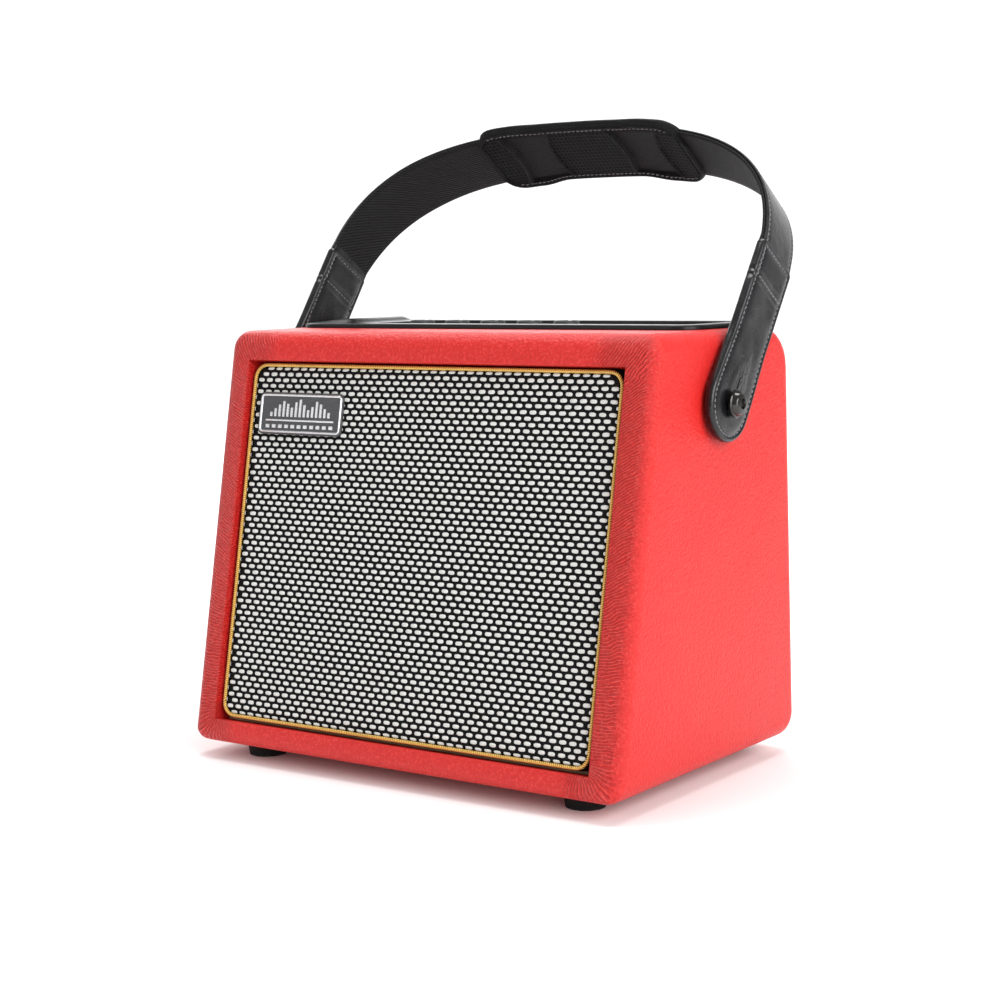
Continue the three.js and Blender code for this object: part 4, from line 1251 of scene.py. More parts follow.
def thread_paint():
    """Waxed grey-black thread of two plies, painted darker between the plies as shade and lighter on them
    as highlight.
    """
    paint = Paint("waxed_thread", (0.16, 0.16, 0.165), 0.4)
    plies = ((paint.x + paint.y * 0.8 + paint.z * 1.1) * 9).sine()
    # Painted shade and highlight: darker between the plies, lighter on their crowns.
    paint.feed(Base_Color=paint.blend(plies.rise(-1, 1), (0.08, 0.08, 0.083), (0.34, 0.34, 0.35)))
    paint.bump(plies, 0.06)
    return paint


def stitch_motif(length=STITCH_LENGTH, thick=0.28):
    """One stitch that lies along X and dips into the leather at both ends."""
    shape = Shape()
    loops = []
    for along, rise, size in ((-0.5, -0.35, 0.55), (-0.38, 0.1, 0.9), (0, 0.45, 1), (0.38, 0.1, 0.9),
                              (0.5, -0.35, 0.55)):
        loops.append(shape.loop([(along * length, math.cos(math.pi / 3 * step) * thick * size,
                                  (rise + math.sin(math.pi / 3 * step) * size) * thick)
                                 for step in range(6)]))
    shape.solid(loops)
    return shape.mesh("stitch_motif", 80)


def edge_stitches(path, width_at, offset, pitch=STITCH_PITCH, inset=STITCH_INSET):
    """Spots for stitches along both edges of the strap, on the face at an offset."""
    spots = []
    gap = path[1][2] - path[0][2]
    every = max(1, round(pitch / gap))
    for (point, outward, _), (after, *_) in list(zip(path, path[1:]))[::every]:
        along = (on_strap(after.x, after.y, 0) - on_strap(point.x, point.y, 0)).normalized()
        facing = on_strap(point.x + outward.x, point.y + outward.y, 0) - on_strap(point.x, point.y, 0)
        for side in (-1, 1):
            near = side * (width_at(point.y) / 2 - inset)
            spot = point + outward * offset
            spots.append((on_strap(spot.x, spot.y, near), facing * math.copysign(1, offset), along))
    return spots


def lining_width(height):
    return web_width(height) - 0.3


strap_leather = black_leather_paint()
thread = thread_paint()
lining_line = [station for station in strap_path(36) if station[0].y > LINING_LOW]
lining_section = [(-0.97, 1.0), (-1, 1.35), (-1, 1.85), (-0.975, 2.15), (-0.93, 2.3), (-0.89, 2.28),
                  (-0.865, 2.05),
                  (-0.835, 2.05), (-0.81, 2.22)]
lining_section += [(share / 8, 2.25 + 0.12 * (1 - (share / 8) ** 2)) for share in range(-5, 6)]
lining_section += [(-share, offset) for share, offset in reversed(lining_section[:9])]
place_piece("lining_leather", band_mesh("strap_lining", lining_line, lining_width, lining_section),
            strap_leather,
            "strap", ["strap_lining"])
lining_spots = edge_stitches(strap_path(LINING_LOW, 0.65)[3:-3], lining_width, 2.1)
lining_stitches = repeat("lining_stitches", stitch_motif(), lining_spots, thread, 0.08, 0.1, 7)
place_piece("lining_stitches", lining_stitches, thread, "strap")

# ---- End tabs -------------------------------------------------------------------------
# Two thick tabs of folded black leather, padded between the seams, wider round the button.
# The button goes through a keyhole with a slit above it. The webbing is sewn in on top.

TAB_TOP = 80
TAB_FOOT = -17.5
TAB_ROUND = 17.6
TAB_NECK = 15.8
TAB_SLIT = 13


def tab_half_width(height):
    """Round at the foot, then drawn in to a straight neck."""
    if height <= 0:
        rest = TAB_ROUND ** 2 - height ** 2
        return math.sqrt(max(rest, 0))
    ease = min(1, height / 38)
    ease = ease * ease * (3 - 2 * ease)
    return TAB_ROUND + (TAB_NECK - TAB_ROUND) * ease


def tab_outline(inset, top=TAB_TOP, foot=TAB_FOOT):
    """A loop round the tab, moved inward: up one side, over the top and down round the foot."""
    high = top - inset
    heights = [high * (1 - step / 26) for step in range(27)]
    right = [Vector((tab_half_width(height) - inset, height)) for height in heights]
    radius = TAB_ROUND - inset
    arc = [Vector((radius * math.cos(math.pi * step / 24), -radius * math.sin(math.pi * step / 24)))
           for step in range(1, 24)]
    left = [Vector((-(tab_half_width(height) - inset), height)) for height in reversed(heights)]
    corner = max(2.2 - inset * 0.3, 0.4)
    turn = [Vector((corner * (1 - math.cos(math.pi / 2 * step / 4)),
                    corner * (1 - math.sin(math.pi / 2 * step / 4))))
            for step in range(5)]
    half = right[0].x
    over = [Vector((-half + cut.x, high - cut.y)) for cut in turn]
    over += [Vector((-half + corner + (2 * half - 2 * corner) * step / 10, high)) for step in range(1, 10)]
    over += [Vector((half - cut.x, high - cut.y)) for cut in reversed(turn)]
    return right[1:] + arc + left[:-1] + over


def tab_mesh(side):
    """Rolled edges, a sunk seam line and two padded fields; the keyhole is cut after."""
    shape = Shape()
    section = [(0.0, 0.0), (0.05, 0.9), (0.45, 1.75), (1.1, 2.25), (1.9, 2.3), (2.5, 1.9), (2.9, 1.7),
               (3.3, 1.9),
               (4.1, 2.25), (5.4, 2.45), (7.5, 2.5)]
    loops = []
    for inset, rise in reversed(section[1:]):
        loops.append((inset, -rise))
    for inset, rise in section:
        loops.append((inset, rise))
    rows = []
    for inset, rise in loops:
        ring = tab_outline(inset)
        rows.append(shape.loop([on_strap(side * (LEG_OUT + rise), spot.y, spot.x) for spot in ring],
                               [(spot.y, spot.x, rise) for spot in ring]))
    shape.solid(rows)
    return shape.mesh("strap_tab", 60)


def carve(mesh, cutters, sharp=40):
    """Take closed cutter meshes out of a mesh and keep the plain result."""
    body = bpy.data.objects.new(mesh.name + "_body", mesh)
    scene.collection.objects.link(body)
    helpers = []
    for cutter in cutters:
        helper = bpy.data.objects.new(mesh.name + "_cutter", cutter)
        scene.collection.objects.link(helper)
        helpers.append(helper)
        modifier = body.modifiers.new("cut", "BOOLEAN")
        modifier.operation = "DIFFERENCE"
        modifier.solver = "EXACT"
        modifier.object = helper
    result = bpy.data.meshes.new_from_object(body.evaluated_get(bpy.context.evaluated_depsgraph_get()))
    result.name = mesh.name
    for helper in [body] + helpers:
        bpy.data.objects.remove(helper)
    result.shade_smooth()
    result.set_sharp_from_angle(angle=math.radians(sharp))
    return result


def keyhole_cutter(side):
    """A round hole for the button's waist and a narrow slit up from it."""
    shape = Shape()
    outline = [Vector((3.5 * math.cos(math.pi * step / 12 + math.pi),
                       3.5 * math.sin(math.pi * step / 12 + math.pi)))
               for step in range(13)]
    outline += [Vector((3.2, 1.5)), Vector((0.45, 3.6)), Vector((0.4, TAB_SLIT)),
                Vector((0, TAB_SLIT + 1.2)),
                Vector((-0.4, TAB_SLIT)), Vector((-0.45, 3.6)), Vector((-3.2, 1.5))]
    shape.solid([shape.loop([on_strap(side * (LEG_OUT + rise), spot.y,
                                      spot.x) for spot in outline]) for rise in (-9, 9)])
    return shape.mesh("keyhole_cutter")


def tab_paint():
    """Glossy black leather padded smooth, puckered round the keyhole, creased at the seams, painted darker
    in the wrinkle hollows as shade and lighter on the crests as highlight.
    """
    paint = Paint("glossy_tab_leather", (0.005, 0.005, 0.006), 0.22, coat=0.2, coat_roughness=0.2,
                  specular=0.4)
    up, across, side = paint.lay()
    reach = (across * across + (up - 9) * (up - 9) * 0.25) ** 0.5
    near_hole = 1 - reach.rise(2.5, 7.5)
    pucker = paint.noise(2.2, 3)
    grain = paint.cells(0.8, feature="SMOOTH_F1")
    wrinkle = paint.noise(7, 3, paint.vector(paint.x, paint.y, paint.z * 0.5))
    swell = paint.noise(18, 1)
    lip = (1 - abs(abs(across) - 1.6).rise(0.2, 1.2)) * up.rise(2,
                                                                4) * (1 - up.rise(TAB_SLIT, TAB_SLIT + 2))
    seam = (1 - abs(abs(up - TAB_TOP + 19) - 1.5).rise(0, 2.5)) * -0.8
    paint.bump(pucker * near_hole * 1.6 + lip * 0.6 + grain * 0.03 + wrinkle * 0.25 + swell * 2.2 + seam,
               0.7)
    # Painted shade and highlight: darker in the wrinkle hollows, lighter on the crests.
    paint.feed(Base_Color=paint.blend(wrinkle.rise(0.45, 0.8), (0.004, 0.004, 0.005),
                                      (0.013, 0.013, 0.015)),
               Roughness=0.2 + grain * 0.05 + wrinkle * 0.12 + near_hole * 0.1)
    return paint


def tab_stitches(side):
    """Seams round the tab on both faces, and two cross seams above the keyhole."""
    spots = []
    ring = tab_outline(2.95)
    run = 0.0
    for one, other in zip(ring, ring[1:] + ring[:1]):
        length = (other - one).length
        while run < length:
            spot = one.lerp(other, run / length) if length else one
            run += STITCH_PITCH
            way = (other - one).normalized()
            for face in (-1, 1):
                along = STRAP_UP * way.y + STRAP_NEAR * way.x
                spots.append((on_strap(side * (LEG_OUT + face * 1.8), spot.y, spot.x),
                              Vector((side * face, 0, 0)), along))
        run -= length
    for step in range(-4, 5):
        for face in (-1, 1):
            spots.append((on_strap(side * (LEG_OUT + face * 2.47), TAB_TOP - 19, step * STITCH_PITCH),
                          Vector((side * face, 0, 0)), STRAP_NEAR))
    return spots


tab_leather = tab_paint()
for side, label in ((-1, "left"), (1, "right")):
    tab_body = carve(tab_mesh(side), [keyhole_cutter(side)], 60)
    place_piece("tab_" + label, tab_body, tab_leather, "strap", ["strap_tab_" + label])
    sewing = repeat("tab_stitches_" + label, stitch_motif(), tab_stitches(side), thread, 0.08, 0.1, 9)
    place_piece("tab_stitches_" + label, sewing, thread, "strap")
    leaf = Shape()
    rows = []
    for inset, rise in ((1.6, 0), (1.2, 0.5), (1.4, 0.9), (2.0, 1.05), (2.6, 0.8), (3.2, 1.0), (5, 1.1)):
        half, low, high = TAB_NECK + 0.4 - inset, TAB_TOP - 22 + inset, TAB_TOP + 9 - inset
        ring = rounded_loop((-half, low), (half, high), [1.6] * 4, (10, 10), 3)
        rows.append(leaf.loop([on_strap(side * (LEG_OUT - 0.75 - rise), up, near) for near, up in ring],
                              [(up, near, 0) for near, up in ring]))
    leaf.skin(rows)
    leaf.cap(rows[-1])
    place_piece("tab_leaf_" + label, leaf.mesh("tab_leaf", 60), tab_leather, "strap")

# ---- Shoulder pad ---------------------------------------------------------------------
# A sleeve of foam and spacer mesh slipped on the top of the strap. Raised stitched rims
# bound two end caps and a middle of open mesh, with the webbing showing between them.

PAD_HALF = 63
PAD_SHIFT = 2.2
PAD_WIDE = 23.5
PAD_WAIST = 20.5
PAD_INNER = 2.5
PAD_OUTER = 2.9
WINDOW_NEAR = 18
WINDOW_FAR = 44


def smooth_step(value):
    value = min(1, max(0, value))
    return value * value * (3 - 2 * value)


def pad_half_width(place, waist=PAD_WAIST):
    """Lobes at both ends and a waist between them, rounded off at the ends."""
    lobe = smooth_step((abs(place) - 22) / 18)
    half = waist + (PAD_WIDE - waist) * lobe
    end = (abs(place) - (PAD_HALF - 15)) / 15
    if end > 0:
        half *= max(0.0, 1 - end ** 2.4) ** (1 / 2.4) * 0.72 + 0.28 * (1 - end ** 6)
    return max(half, 0.4)


def window_edge(place, across):
    """How far inside a window a spot is, in millimetres; below zero outside."""
    bow = 4.5 * (1 - (across / PAD_WAIST) ** 2)
    return min(abs(place) - WINDOW_NEAR - bow, WINDOW_FAR + 3 - bow - abs(place), 99)


def pad_mesh():
    """Both faces as fields of heights over the strap, joined round the rim."""
    shape = Shape()
    path = [(point, outward, place - PAD_SHIFT) for point, outward, place in strap_path(36, 0.7)
            if abs(place - PAD_SHIFT) < PAD_HALF]
    faces = {-1: [], 1: []}
    steps = 44
    for point, outward, place in path:
        half = (pad_half_width(place), pad_half_width(place, PAD_WIDE - 0.8))
        for face in (-1, 1):
            row, lays = [], []
            for step in range(steps + 1):
                share = math.sin(math.pi / 2 * (2 * step / steps - 1))
                near = share * half[share > 0]
                edge = min(half[share > 0] - abs(near), PAD_HALF - abs(place))
                roll = math.sqrt(max(0, 1 - (1 - min(1, edge / 2.4)) ** 2))
                rim = 0.9 * math.exp(-((edge - 1.7) / 1.1) ** 2)
                groove = -0.55 * math.exp(-((edge - 3.9) / 0.6) ** 2)
                if face < 0:
                    inside = window_edge(place, near)
                    sink = smooth_step(inside / 0.9)
                    bead = 1.1 * math.exp(-((inside + 1.1) / 0.9) ** 2)
                    thick = (PAD_INNER - 0.4 + rim + groove + bead) * (1 - sink) + 0.3 * sink
                    if edge < 3.4:
                        thick = PAD_INNER - 0.4 + rim + groove
                    offset = -thick * roll + 0.7 * (1 - roll)
                    kind = 1.0 if inside < -2.2 and edge > 4.3 else 0.0
                else:
                    offset = (PAD_OUTER - 0.9 + rim * 0.8 + groove) * roll + 0.7 * (1 - roll)
                    kind = 0.0
                spot = point + outward * offset
                row.append(on_strap(spot.x, spot.y, near))
                lays.append((place, near, kind))
            faces[face].append(shape.loop(row, lays))
    for face in (-1, 1):
        shape.skin(faces[face], closed=False)
    for end in (0, -1):
        shape.bridge([loop[end] for loop in faces[-1]], [loop[end] for loop in faces[1]], closed=False)
    for index in (0, -1):
        shape.bridge(faces[-1][index], faces[1][index], closed=False)
    return shape.mesh("shoulder_pad", 60)


def pad_paint():
    """Matt black cloth with open spacer mesh on the fields and smooth rims; the holes of the mesh are
    painted pure black as shade.
    """
    paint = Paint("spacer_mesh_and_rim", (0.008, 0.008, 0.009), 0.65, specular=0.1)
    along, across, kind = paint.lay()
    mesh = kind.rise(0.3, 0.7)
    pitch = 2.3
    wave = 2 * math.pi / pitch
    holes = abs((along * wave / 2).sine() * (across * wave / 2.2).sine())
    pits = holes.rise(0.28, 0.55) * mesh
    cloth = paint.noise(0.5, 3)
    weave = ((along * 7).sine() + (across * 7).sine()) * 0.2
    paint.bump((1 - pits) * 2.2 + cloth * 0.2 + weave * (1 - mesh), 0.5)
    # Painted shade: the holes of the mesh are coloured pure black.
    paint.feed(Base_Color=paint.blend(pits, (0.010, 0.010, 0.011), (0.0, 0.0, 0.0)),
               Roughness=0.55 + cloth * 0.25 - (1 - mesh) * 0.12)
    return paint


pad_cloth = pad_paint()
shoulder_pad = place_piece("shoulder_pad_sleeve", pad_mesh(), pad_cloth, "strap",
                           ["shoulder_pad"])
pad_spots = []
for point, outward, distance in strap_path(36, 2.6):
    place = distance - PAD_SHIFT
    if abs(place) > PAD_HALF - 8:
        continue
    for near_side in (-1, 1):
        for face in (-1, 1):
            rise = PAD_INNER - 0.35 if face < 0 else PAD_OUTER - 1.2
            spot = point + outward * rise * face
            facing = on_strap(spot.x + outward.x, spot.y + outward.y, 0) - on_strap(spot.x, spot.y, 0)
            along = STRAP_UP * outward.x * -1 + Vector((outward.y, 0, 0))
            edge = pad_half_width(place, PAD_WIDE - 0.8 if near_side > 0 else PAD_WAIST) - 3.7
            pad_spots.append((on_strap(spot.x, spot.y, near_side * edge), facing * face, along))
place_piece("pad_stitches", repeat("pad_stitches", stitch_motif(), pad_spots, thread, 0.1, 0.1, 5), thread,
            "strap")

# ---- Loudspeaker ----------------------------------------------------------------------
# A full-range driver bolted behind the baffle: painted basket, plated plates, ferrite
# ring, and a pressed paper cone held by a foam surround and a corrugated cloth spider.


def rubbed_paint(name, dark, light, roughness, metallic=0.0, size=3, depth=0.1, fine=0.5):
    """A finish that drifts between two tones and is slightly rough to the touch."""
    paint = Paint(name, dark, roughness, metallic)
    drift = paint.noise(size, 3)
    grit = paint.noise(fine, 3)
    paint.feed(Base_Color=paint.blend(drift.rise(0.3, 0.75), dark, light),
               Roughness=roughness * 0.85 + grit * 0.2)
    paint.bump(grit + drift * 0.6, depth)
    return paint


def paper_paint():
    """Pressed paper: tangled fibres and shallow rings."""
    paint = Paint("cone_paper", (0.02, 0.02, 0.02), 0.9)
    fibres = paint.noise(0.8, 5)
    rings = (paint.z * 1.9).sine()
    paint.feed(Base_Color=paint.blend(fibres, (0.008, 0.008, 0.008), (0.05, 0.05, 0.048)))
    paint.bump(fibres * 0.8 + rings * 0.3, 0.25)
    return paint


def winding_paint():
    """Enamelled copper wire, wound close, painted darker between the turns as shade and lighter on them as
    highlight.
    """
    paint = Paint("copper_winding", (0.50, 0.19, 0.07), 0.32, metallic=1.0)
    turns = ((paint.y * 0.98 - paint.z * 0.19) * 20).sine()
    # Painted shade and highlight: darker between the turns, lighter on them.
    paint.feed(Base_Color=paint.blend(turns.rise(-1, 1), (0.28, 0.09, 0.03), (0.62, 0.27, 0.11)))
    paint.bump(turns, 0.1)
    return paint


coat(rubbed_paint("painted_basket", (0.02, 0.02, 0.022), (0.05, 0.05, 0.055), 0.5, 0.5), "speaker_basket")
plated = rubbed_paint("yellow_plated_steel", (0.42, 0.37, 0.25), (0.58, 0.54, 0.42), 0.35, 1.0, 8)
coat(plated, "speaker_front_plate", "speaker_yoke")
coat(rubbed_paint("ferrite", (0.03, 0.03, 0.032), (0.07, 0.07, 0.073), 0.6, 0.2, 2, 0.2), "speaker_magnet")
coat(winding_paint(), "voice_coil")
coat(paper_paint(), "speaker_cone", "dust_cap")
coat(rubbed_paint("surround_foam", (0.012, 0.012, 0.012), (0.04, 0.04, 0.04), 0.95, 0, 1, 0.3, 0.3),
     "speaker_surround")
coat(rubbed_paint("spider_cloth", (0.42, 0.29, 0.12), (0.56, 0.42, 0.20), 0.9, 0, 4, 0.3, 0.4),
     "speaker_spider")

# ---- Control panel --------------------------------------------------------------------
# A glossy black moulding let into the top: a rounded flange with a low hump at its left
# end, and a sunk tray for the controls, with raised white scale marks round each knob.

PANEL_LOW = (-116, 80)
PANEL_HIGH = (116, 147)
PANEL_TURN = 12
PANEL_TOP = 202.3
TRAY_LOW = (-76, 92)
TRAY_HIGH = (108, 139)
TRAY_TURN = 6
TRAY_FLOOR = 190
HUMP_LOW = (-113.5, 83)
HUMP_HIGH = (-83, 139)
HUMP_RISE = 2.2
KNOB_NODES = ("knob_1", "knob_2", "knob_3", "knob_4", "knob_5")
MARKS = 11
panel_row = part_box("knob_1")
KNOB_BACK = (panel_row[0].y + panel_row[1].y) / 2 / MM - BASE_Y


def flat_loop(low, high, inset, radius, height, steps=(24, 12)):
    corners = [max(radius - inset, 0.3)] * 4
    points = rounded_loop((low[0] + inset, low[1] + inset), (high[0] - inset, high[1] - inset), corners,
                          steps, 6)
    return [at(x, back, height) for x, back in points]


def panel_mesh():
    shape = Shape()
    rim = [(0.0, PANEL_TOP - 2.1), (0.0, PANEL_TOP - 1.0), (0.25, PANEL_TOP - 0.45), (0.8, PANEL_TOP - 0.1),
           (1.6, PANEL_TOP)]
    rows = [shape.loop(flat_loop(PANEL_LOW, PANEL_HIGH, inset, PANEL_TURN, height)) for inset,
            height in rim]
    tray = [(-1.3, PANEL_TOP), (-0.6, PANEL_TOP - 0.1), (-0.1, PANEL_TOP - 0.5), (0.0, PANEL_TOP - 1.2),
            (0.15, TRAY_FLOOR + 1.0), (0.5, TRAY_FLOOR + 0.3), (1.2, TRAY_FLOOR)]
    rows += [shape.loop(flat_loop(TRAY_LOW, TRAY_HIGH, inset, TRAY_TURN, height)) for inset, height in tray]
    shape.skin(rows)
    shape.cap(rows[-1])
    return shape.mesh("control_panel", 50)


def hump_mesh():
    """A low wedge that rises to the right and rounds off all round."""
    shape = Shape()
    rows = []
    for step in range(25):
        across = step / 24
        x = HUMP_LOW[0] + (HUMP_HIGH[0] - HUMP_LOW[0]) * across
        row = []
        for place in range(25):
            deep = place / 24
            back = HUMP_LOW[1] + (HUMP_HIGH[1] - HUMP_LOW[1]) * deep
            ridge = (0.25 + 0.75 * smooth_step(across / 0.8)) * smooth_step((1 - across) / 0.16)
            ends = smooth_step(deep / 0.12) * smooth_step((1 - deep) / 0.12) * smooth_step(across / 0.08)
            row.append(at(x, back, PANEL_TOP - 0.15 + (HUMP_RISE + 0.15) * ridge * ends))
        rows.append(shape.loop(row))
    shape.skin(rows, closed=False)
    return shape.mesh("panel_hump", 50)


def gloss_paint():
    """Glossy black moulding with a faint orange-peel and fine dust."""
    paint = Paint("gloss_black_moulding", (0.010, 0.010, 0.011), 0.3, specular=0.22)
    peel = paint.noise(3, 2)
    dust = paint.noise(0.5, 4)
    paint.feed(Roughness=0.26 + peel * 0.12 + dust.rise(0.62, 0.75) * 0.25,
               Base_Color=paint.blend(dust.rise(0.66, 0.8) * 0.5, (0.009, 0.009, 0.010),
                                      (0.06, 0.06, 0.06)))
    paint.bump(peel + dust * 0.1, 0.04)
    return paint


def mark_paint():
    """Raised printed marks in warm white ink, thin at the rims."""
    paint = Paint("white_print", (0.75, 0.75, 0.72), 0.5)
    worn = paint.noise(0.8, 3)
    paint.feed(Base_Color=paint.blend(worn.rise(0.62, 0.8) * 0.6, (0.78, 0.78, 0.75), (0.3, 0.3, 0.3)))
    paint.bump(worn, 0.02)
    return paint


def mark_motif(length, wide, thick=0.12):
    shape = Shape()
    loops = []
    for inset, height in ((0, -0.1), (0, thick * 0.7), (0.08, thick)):
        ring = rounded_loop((-length / 2 + inset, -wide / 2 + inset),
                            (length / 2 - inset, wide / 2 - inset), [0.12] * 4, (1, 1), 2)
        loops.append(shape.loop([Vector((x, y, height)) for x, y in ring]))
    shape.skin(loops)
    shape.cap(loops[-1])
    return shape.mesh("mark_motif", 30)


gloss = gloss_paint()
white = mark_paint()
place_piece("panel_moulding", panel_mesh(), gloss, "cabinet", ["control_panel"])
place_piece("panel_hump", hump_mesh(), gloss, "cabinet")
mark_spots = []
for knob in KNOB_NODES:
    low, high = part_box(knob)
    middle = (low.x + high.x) / 2 / MM
    for mark in range(MARKS):
        turn = math.radians(-150 + 300 * mark / (MARKS - 1))
        way = Vector((math.sin(turn), math.cos(turn), 0))
        mark_spots.append((at(middle, KNOB_BACK, TRAY_FLOOR) + way * 9.1, Vector((0, 0, 1)), way))
place_piece("scale_marks", repeat("scale_marks", mark_motif(1.5, 0.4), mark_spots, white), white, "cabinet")

# ---- Knobs and potentiometers ---------------------------------------------------------
# Five moulded black knobs with fluted skirts, a dished top and a white pointer, each
# pushed on the flatted shaft of a potentiometer that is nutted under the tray.

KNOB_SECTION = [(6.6, 0.0), (7.3, 0.15), (7.35, 0.6), (7.2, 1.4), (6.9, 2.2), (6.75, 3.0), (6.55, 9.8),
                (6.35, 10.9),
                (5.9, 11.8), (5.3, 12.15), (4.6, 12.1), (3.8, 11.75), (2.0, 11.5), (0.02, 11.45)]
KNOB_FLUTES = 24


def knob_mesh(middle, low):
    shape = Shape()
    loops = []
    for radius, height in KNOB_SECTION:
        flute = 0.16 if 2.9 < height < 10 else 0
        ring = []
        for step in range(KNOB_FLUTES * 6):
            turn = 2 * math.pi * step / (KNOB_FLUTES * 6)
            size = radius - flute + flute * math.cos(turn * KNOB_FLUTES)
            ring.append(middle + Vector((size * math.cos(turn), size * math.sin(turn), low + height)))
        loops.append(shape.loop(ring))
    shape.skin(loops)
    shape.cap(loops[0])
    return shape.mesh("knob", 40)


knob_black = rubbed_paint("moulded_knob_black", (0.012, 0.012, 0.013), (0.03, 0.03, 0.032), 0.42, 0, 4,
                          0.05, 0.35)
shaft_steel = rubbed_paint("turned_shaft_steel", (0.42, 0.42, 0.43), (0.6, 0.6, 0.6), 0.3, 1.0, 2, 0.05)
coat(shaft_steel, "pot_shaft_1", "pot_shaft_2", "pot_shaft_3", "pot_shaft_4", "pot_shaft_5")
coat(rubbed_paint("pressed_pot_steel", (0.36, 0.36, 0.37), (0.55, 0.55, 0.55), 0.38, 1.0, 3),
     "potentiometer_1", "potentiometer_2", "potentiometer_3", "potentiometer_4", "potentiometer_5")
for number, knob in enumerate(KNOB_NODES, 1):
    low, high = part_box(knob)
    middle = Vector(((low.x + high.x) / 2, (low.y + high.y) / 2, 0)) / MM
    body = "control_%d" % number
    place_piece("visual_" + knob, knob_mesh(middle, low.z / MM), knob_black, body, [knob])
    pointer = [(middle + Vector((0, 3.6, low.z / MM + 11.75)), Vector((0, 0, 1)), Vector((0, 1, 0)))]
    place_piece("pointer_%d" % number, repeat("pointer", mark_motif(3.4, 0.8, 0.35), pointer, white), white,
                body)

# ---- Sockets, switch, button and light ------------------------------------------------
# Two sockets held by nuts, a soft pairing button with a dished top, a small green light
# and a plain rocker switch in its housing.


def nut_mesh(middle, bore, across_flats, low, high):
    """A six-sided nut, its corners turned off, on a thin round washer."""
    shape = turned_shape([(bore, low), (across_flats * 0.72, low), (across_flats * 0.72, low + 0.4),
                          (bore, low + 0.4)],
                         middle, 36)
    loops = []
    for size, height in ((0.94, low + 0.4), (1.0, low + 0.7), (1.0, high - 0.35), (0.93, high)):
        ring = []
        for step in range(36):
            turn = 2 * math.pi * step / 36
            flat = across_flats / 2 / math.cos((turn + math.pi / 6) % (math.pi / 3) - math.pi / 6)
            reach = min(flat, across_flats * 0.565) * size
            ring.append(middle + Vector((reach * math.cos(turn), reach * math.sin(turn), height)))
        loops.append(shape.loop(ring))
    for radius, height in ((bore + 0.3, high), (bore, high - 0.3), (bore, low + 0.4)):
        loops.append(shape.loop([middle + Vector((radius * math.cos(2 * math.pi * step / 36),
                                                  radius * math.sin(2 * math.pi * step / 36), height))
                                 for step in range(36)]))
    shape.skin(loops)
    return shape.mesh("nut", 25)


def led_paint():
    """A clear green lens, lit dimly from inside."""
    paint = Paint("green_lens", (0.02, 0.35, 0.08), 0.18, coat=0.5)
    glow = paint.noise(0.8, 2)
    paint.feed(Emission_Color=paint.blend(glow, (0.02, 0.5, 0.08), (0.10, 0.9, 0.25)))
    paint.shader.inputs["Emission Strength"].default_value = 0.6
    paint.bump(glow, 0.03)
    return paint


def panel_spot(node):
    low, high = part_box(node)
    return Vector(((low.x + high.x) / 2, (low.y + high.y) / 2, 0)) / MM, high.z / MM


socket_black = rubbed_paint("socket_moulding", (0.014, 0.014, 0.015), (0.035, 0.035, 0.037), 0.45, 0, 2,
                            0.06)
coat(socket_black, "headphone_jack", "power_switch_housing", "power_rocker")
coat(shaft_steel, "input_jack")
coat(led_paint(), "status_led")
jack_middle = panel_spot("input_jack")[0]
tray_level = BASE_Z + TRAY_FLOOR
place_piece("jack_nut", nut_mesh(jack_middle, 4.7, 12.6, tray_level, tray_level + 2.6), screw_steel,
            "cabinet")
phones_middle = panel_spot("headphone_jack")[0]
place_piece("phones_ring",
            turned_shape([(3.6, tray_level), (4.9, tray_level), (4.9, tray_level + 0.6),
                          (4.5, tray_level + 0.9),
                                         (3.9, tray_level + 0.9), (3.6, tray_level + 0.6),
                          (3.6, tray_level)],
                                        phones_middle, 36).mesh("phones_ring", 30), screw_steel, "cabinet")
button_middle, button_top = panel_spot("bluetooth_button")
button_rows = [(4.55, button_top - 4), (4.55, button_top - 0.7), (4.35, button_top - 0.2),
               (3.9, button_top), (3.4, button_top - 0.05),
               (2.0, button_top - 0.35), (0.02, button_top - 0.4)]
place_piece("pairing_cap", turned_shape(button_rows, button_middle, 40).mesh("pairing_cap", 40),
            rubbed_paint("soft_button", (0.02, 0.02, 0.022), (0.04, 0.04, 0.043), 0.6, 0, 3, 0.05),
            "pairing_button",
            ["bluetooth_button"])

# ---- Back panel -----------------------------------------------------------------------
# A textured black board that lies in the step of the back opening, held by ten screws,
# with the flared mouth of the bass port and the charging socket.

BACK_HALF = 95.7
BACK_LOW = 24.3
BACK_HIGH = 171.7
BACK_TURN = 6
BACK_SUNK = 0.35
UP_BACK = Vector((0, -math.sin(BACK_ANGLE), math.cos(BACK_ANGLE)))
OUT_BACK = Vector((0, math.cos(BACK_ANGLE), math.sin(BACK_ANGLE)))
port_low, port_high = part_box("port_tube")


def on_back(x, height, out=0.0):
    """A point of the leaning back face, at a height over the underside."""
    return at(x, DEPTH - BACK_LEAN * height / HEIGHT, height) + OUT_BACK * out


def back_loop(inset, out, radius=BACK_TURN):
    points = rounded_loop((-BACK_HALF + inset, BACK_LOW + inset), (BACK_HALF - inset, BACK_HIGH - inset),
                          [max(radius - inset, 0.4)] * 4, (24, 16), 5)
    return [on_back(x, height, out) for x, height in points]


def back_paint():
    """Black textured film over fibreboard, with scuffs."""
    paint = Paint("textured_back_board", (0.014, 0.014, 0.014), 0.6)
    pimple = paint.cells(0.9)
    drift = paint.noise(14, 3)
    paint.bump(pimple.rise(0.1, 0.5) + drift * 0.4, 0.14)
    paint.feed(Base_Color=paint.blend(drift.rise(0.5, 0.8) * 0.6, (0.012, 0.012, 0.012),
                                      (0.035, 0.034, 0.033)),
               Roughness=0.5 + drift * 0.2)
    return paint


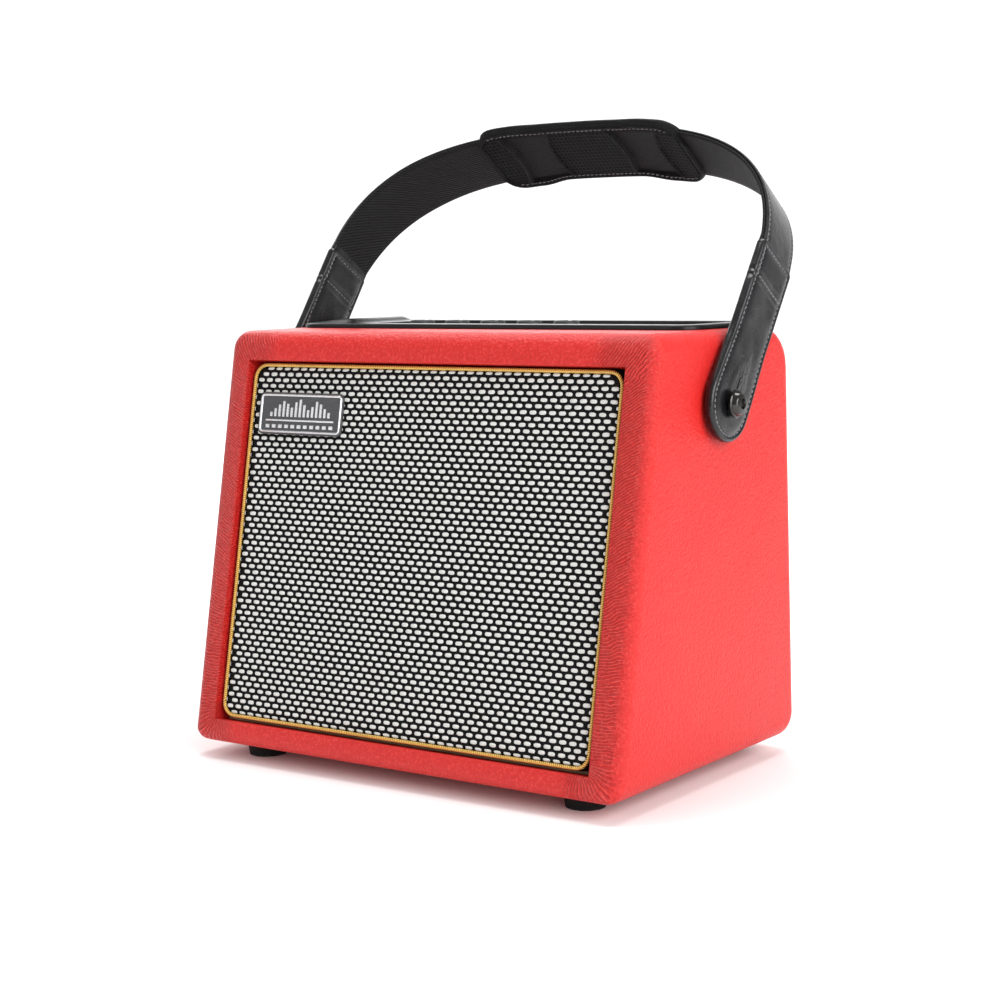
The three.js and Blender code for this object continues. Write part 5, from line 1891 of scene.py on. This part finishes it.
back_board = back_paint()
port_middle = (port_low + port_high) / 2 / MM
PORT_HEIGHT = 66
PORT_X = port_middle.x
SOCKET_X = -62
SOCKET_HEIGHT = 48


def back_tool(rows):
    """A closed cutter through the back panel from loops of (x, height) at two depths."""
    shape = Shape()
    shape.solid([shape.loop([on_back(x, height, out) for x, height in rows]) for out in (-12, 6)])
    return shape.mesh("back_tool")


def back_mesh():
    shape = Shape()
    section = [(0, -5.0), (0, -BACK_SUNK - 0.7), (0.2, -BACK_SUNK - 0.2), (0.8, -BACK_SUNK),
               (2.2, -BACK_SUNK)]
    shape.solid([shape.loop(back_loop(inset, out)) for inset, out in section])
    body = shape.mesh("back_panel", 40)
    port = [(PORT_X + 20.4 * math.cos(2 * math.pi * step / 48),
             PORT_HEIGHT + 20.4 * math.sin(2 * math.pi * step / 48))
            for step in range(48)]
    socket = rounded_loop((SOCKET_X - 4.7, SOCKET_HEIGHT - 1.85), (SOCKET_X + 4.7, SOCKET_HEIGHT + 1.85),
                          [1.8] * 4, (1, 1), 6)
    return carve(body, [back_tool(port), back_tool(socket)], 40)


def port_mesh():
    """The port's flange and its flare, down into the tube."""
    turn = Matrix((Vector((1, 0, 0)), UP_BACK, OUT_BACK)).transposed()
    section = [(25, 0.0), (25, 0.9), (24.4, 1.7), (22.6, 2.1), (20.4, 1.9), (18.6, 0.9), (17.5, -1.2),
               (17.0, -4.5), (17.0, -50)]
    middle = on_back(PORT_X, PORT_HEIGHT, -BACK_SUNK)
    loops_shape = Shape()
    loops = []
    for radius, out in section:
        loops.append(loops_shape.loop([middle + turn @ Vector((radius * math.cos(2 * math.pi * step / 64),
                                                              radius * math.sin(2 * math.pi * step / 64),
                                                               out))
                                       for step in range(64)]))
    loops_shape.skin(loops)
    return loops_shape.mesh("port_mouth", 40)


place_piece("back_board_panel", back_mesh(), back_board, "cabinet", ["back_panel"])
port_black = rubbed_paint("moulded_port", (0.012, 0.012, 0.013), (0.03, 0.03, 0.03), 0.42, 0, 4, 0.06)
coat(port_black, "port_tube")
coat(shaft_steel, "charging_socket")
place_piece("port_mouth", port_mesh(), port_black, "cabinet")
back_screws = []
for x in (-90, -45, 0, 45, 90):
    for height in (30, 166):
        back_screws.append((on_back(x, height, -BACK_SUNK + 0.15), OUT_BACK, Vector((1, 0, 0.4))))
place_piece("back_screws", repeat("back_screws", screw_motif(3.0), back_screws, screw_steel, 0.8, 0, 3),
            screw_steel,
            "cabinet")

# ---- Battery, board and lead ----------------------------------------------------------
# Inside: a battery pack in blue shrink wrap, a green control board under the panel and
# the loudspeaker's lead.


def circuit_paint():
    """Green solder mask over copper tracks."""
    paint = Paint("circuit_board", (0.01, 0.13, 0.05), 0.4)
    tracks = ((paint.x * 1.6).sine() + (paint.y * 1.9).sine() + paint.noise(6, 2) * 2).rise(0.9, 1.1)
    paint.feed(Base_Color=paint.blend(tracks, (0.008, 0.10, 0.04), (0.03, 0.24, 0.09)),
               Roughness=0.32 + tracks * 0.15)
    paint.bump(tracks, 0.04)
    return paint


coat(rubbed_paint("shrink_wrap", (0.02, 0.08, 0.30), (0.04, 0.14, 0.42), 0.3, 0, 10, 0.3, 2),
     "battery_pack")
coat(circuit_paint(), "control_board")
coat(rubbed_paint("lead_insulation", (0.35, 0.015, 0.01), (0.5, 0.03, 0.02), 0.45, 0, 3, 0.05),
     "speaker_lead")
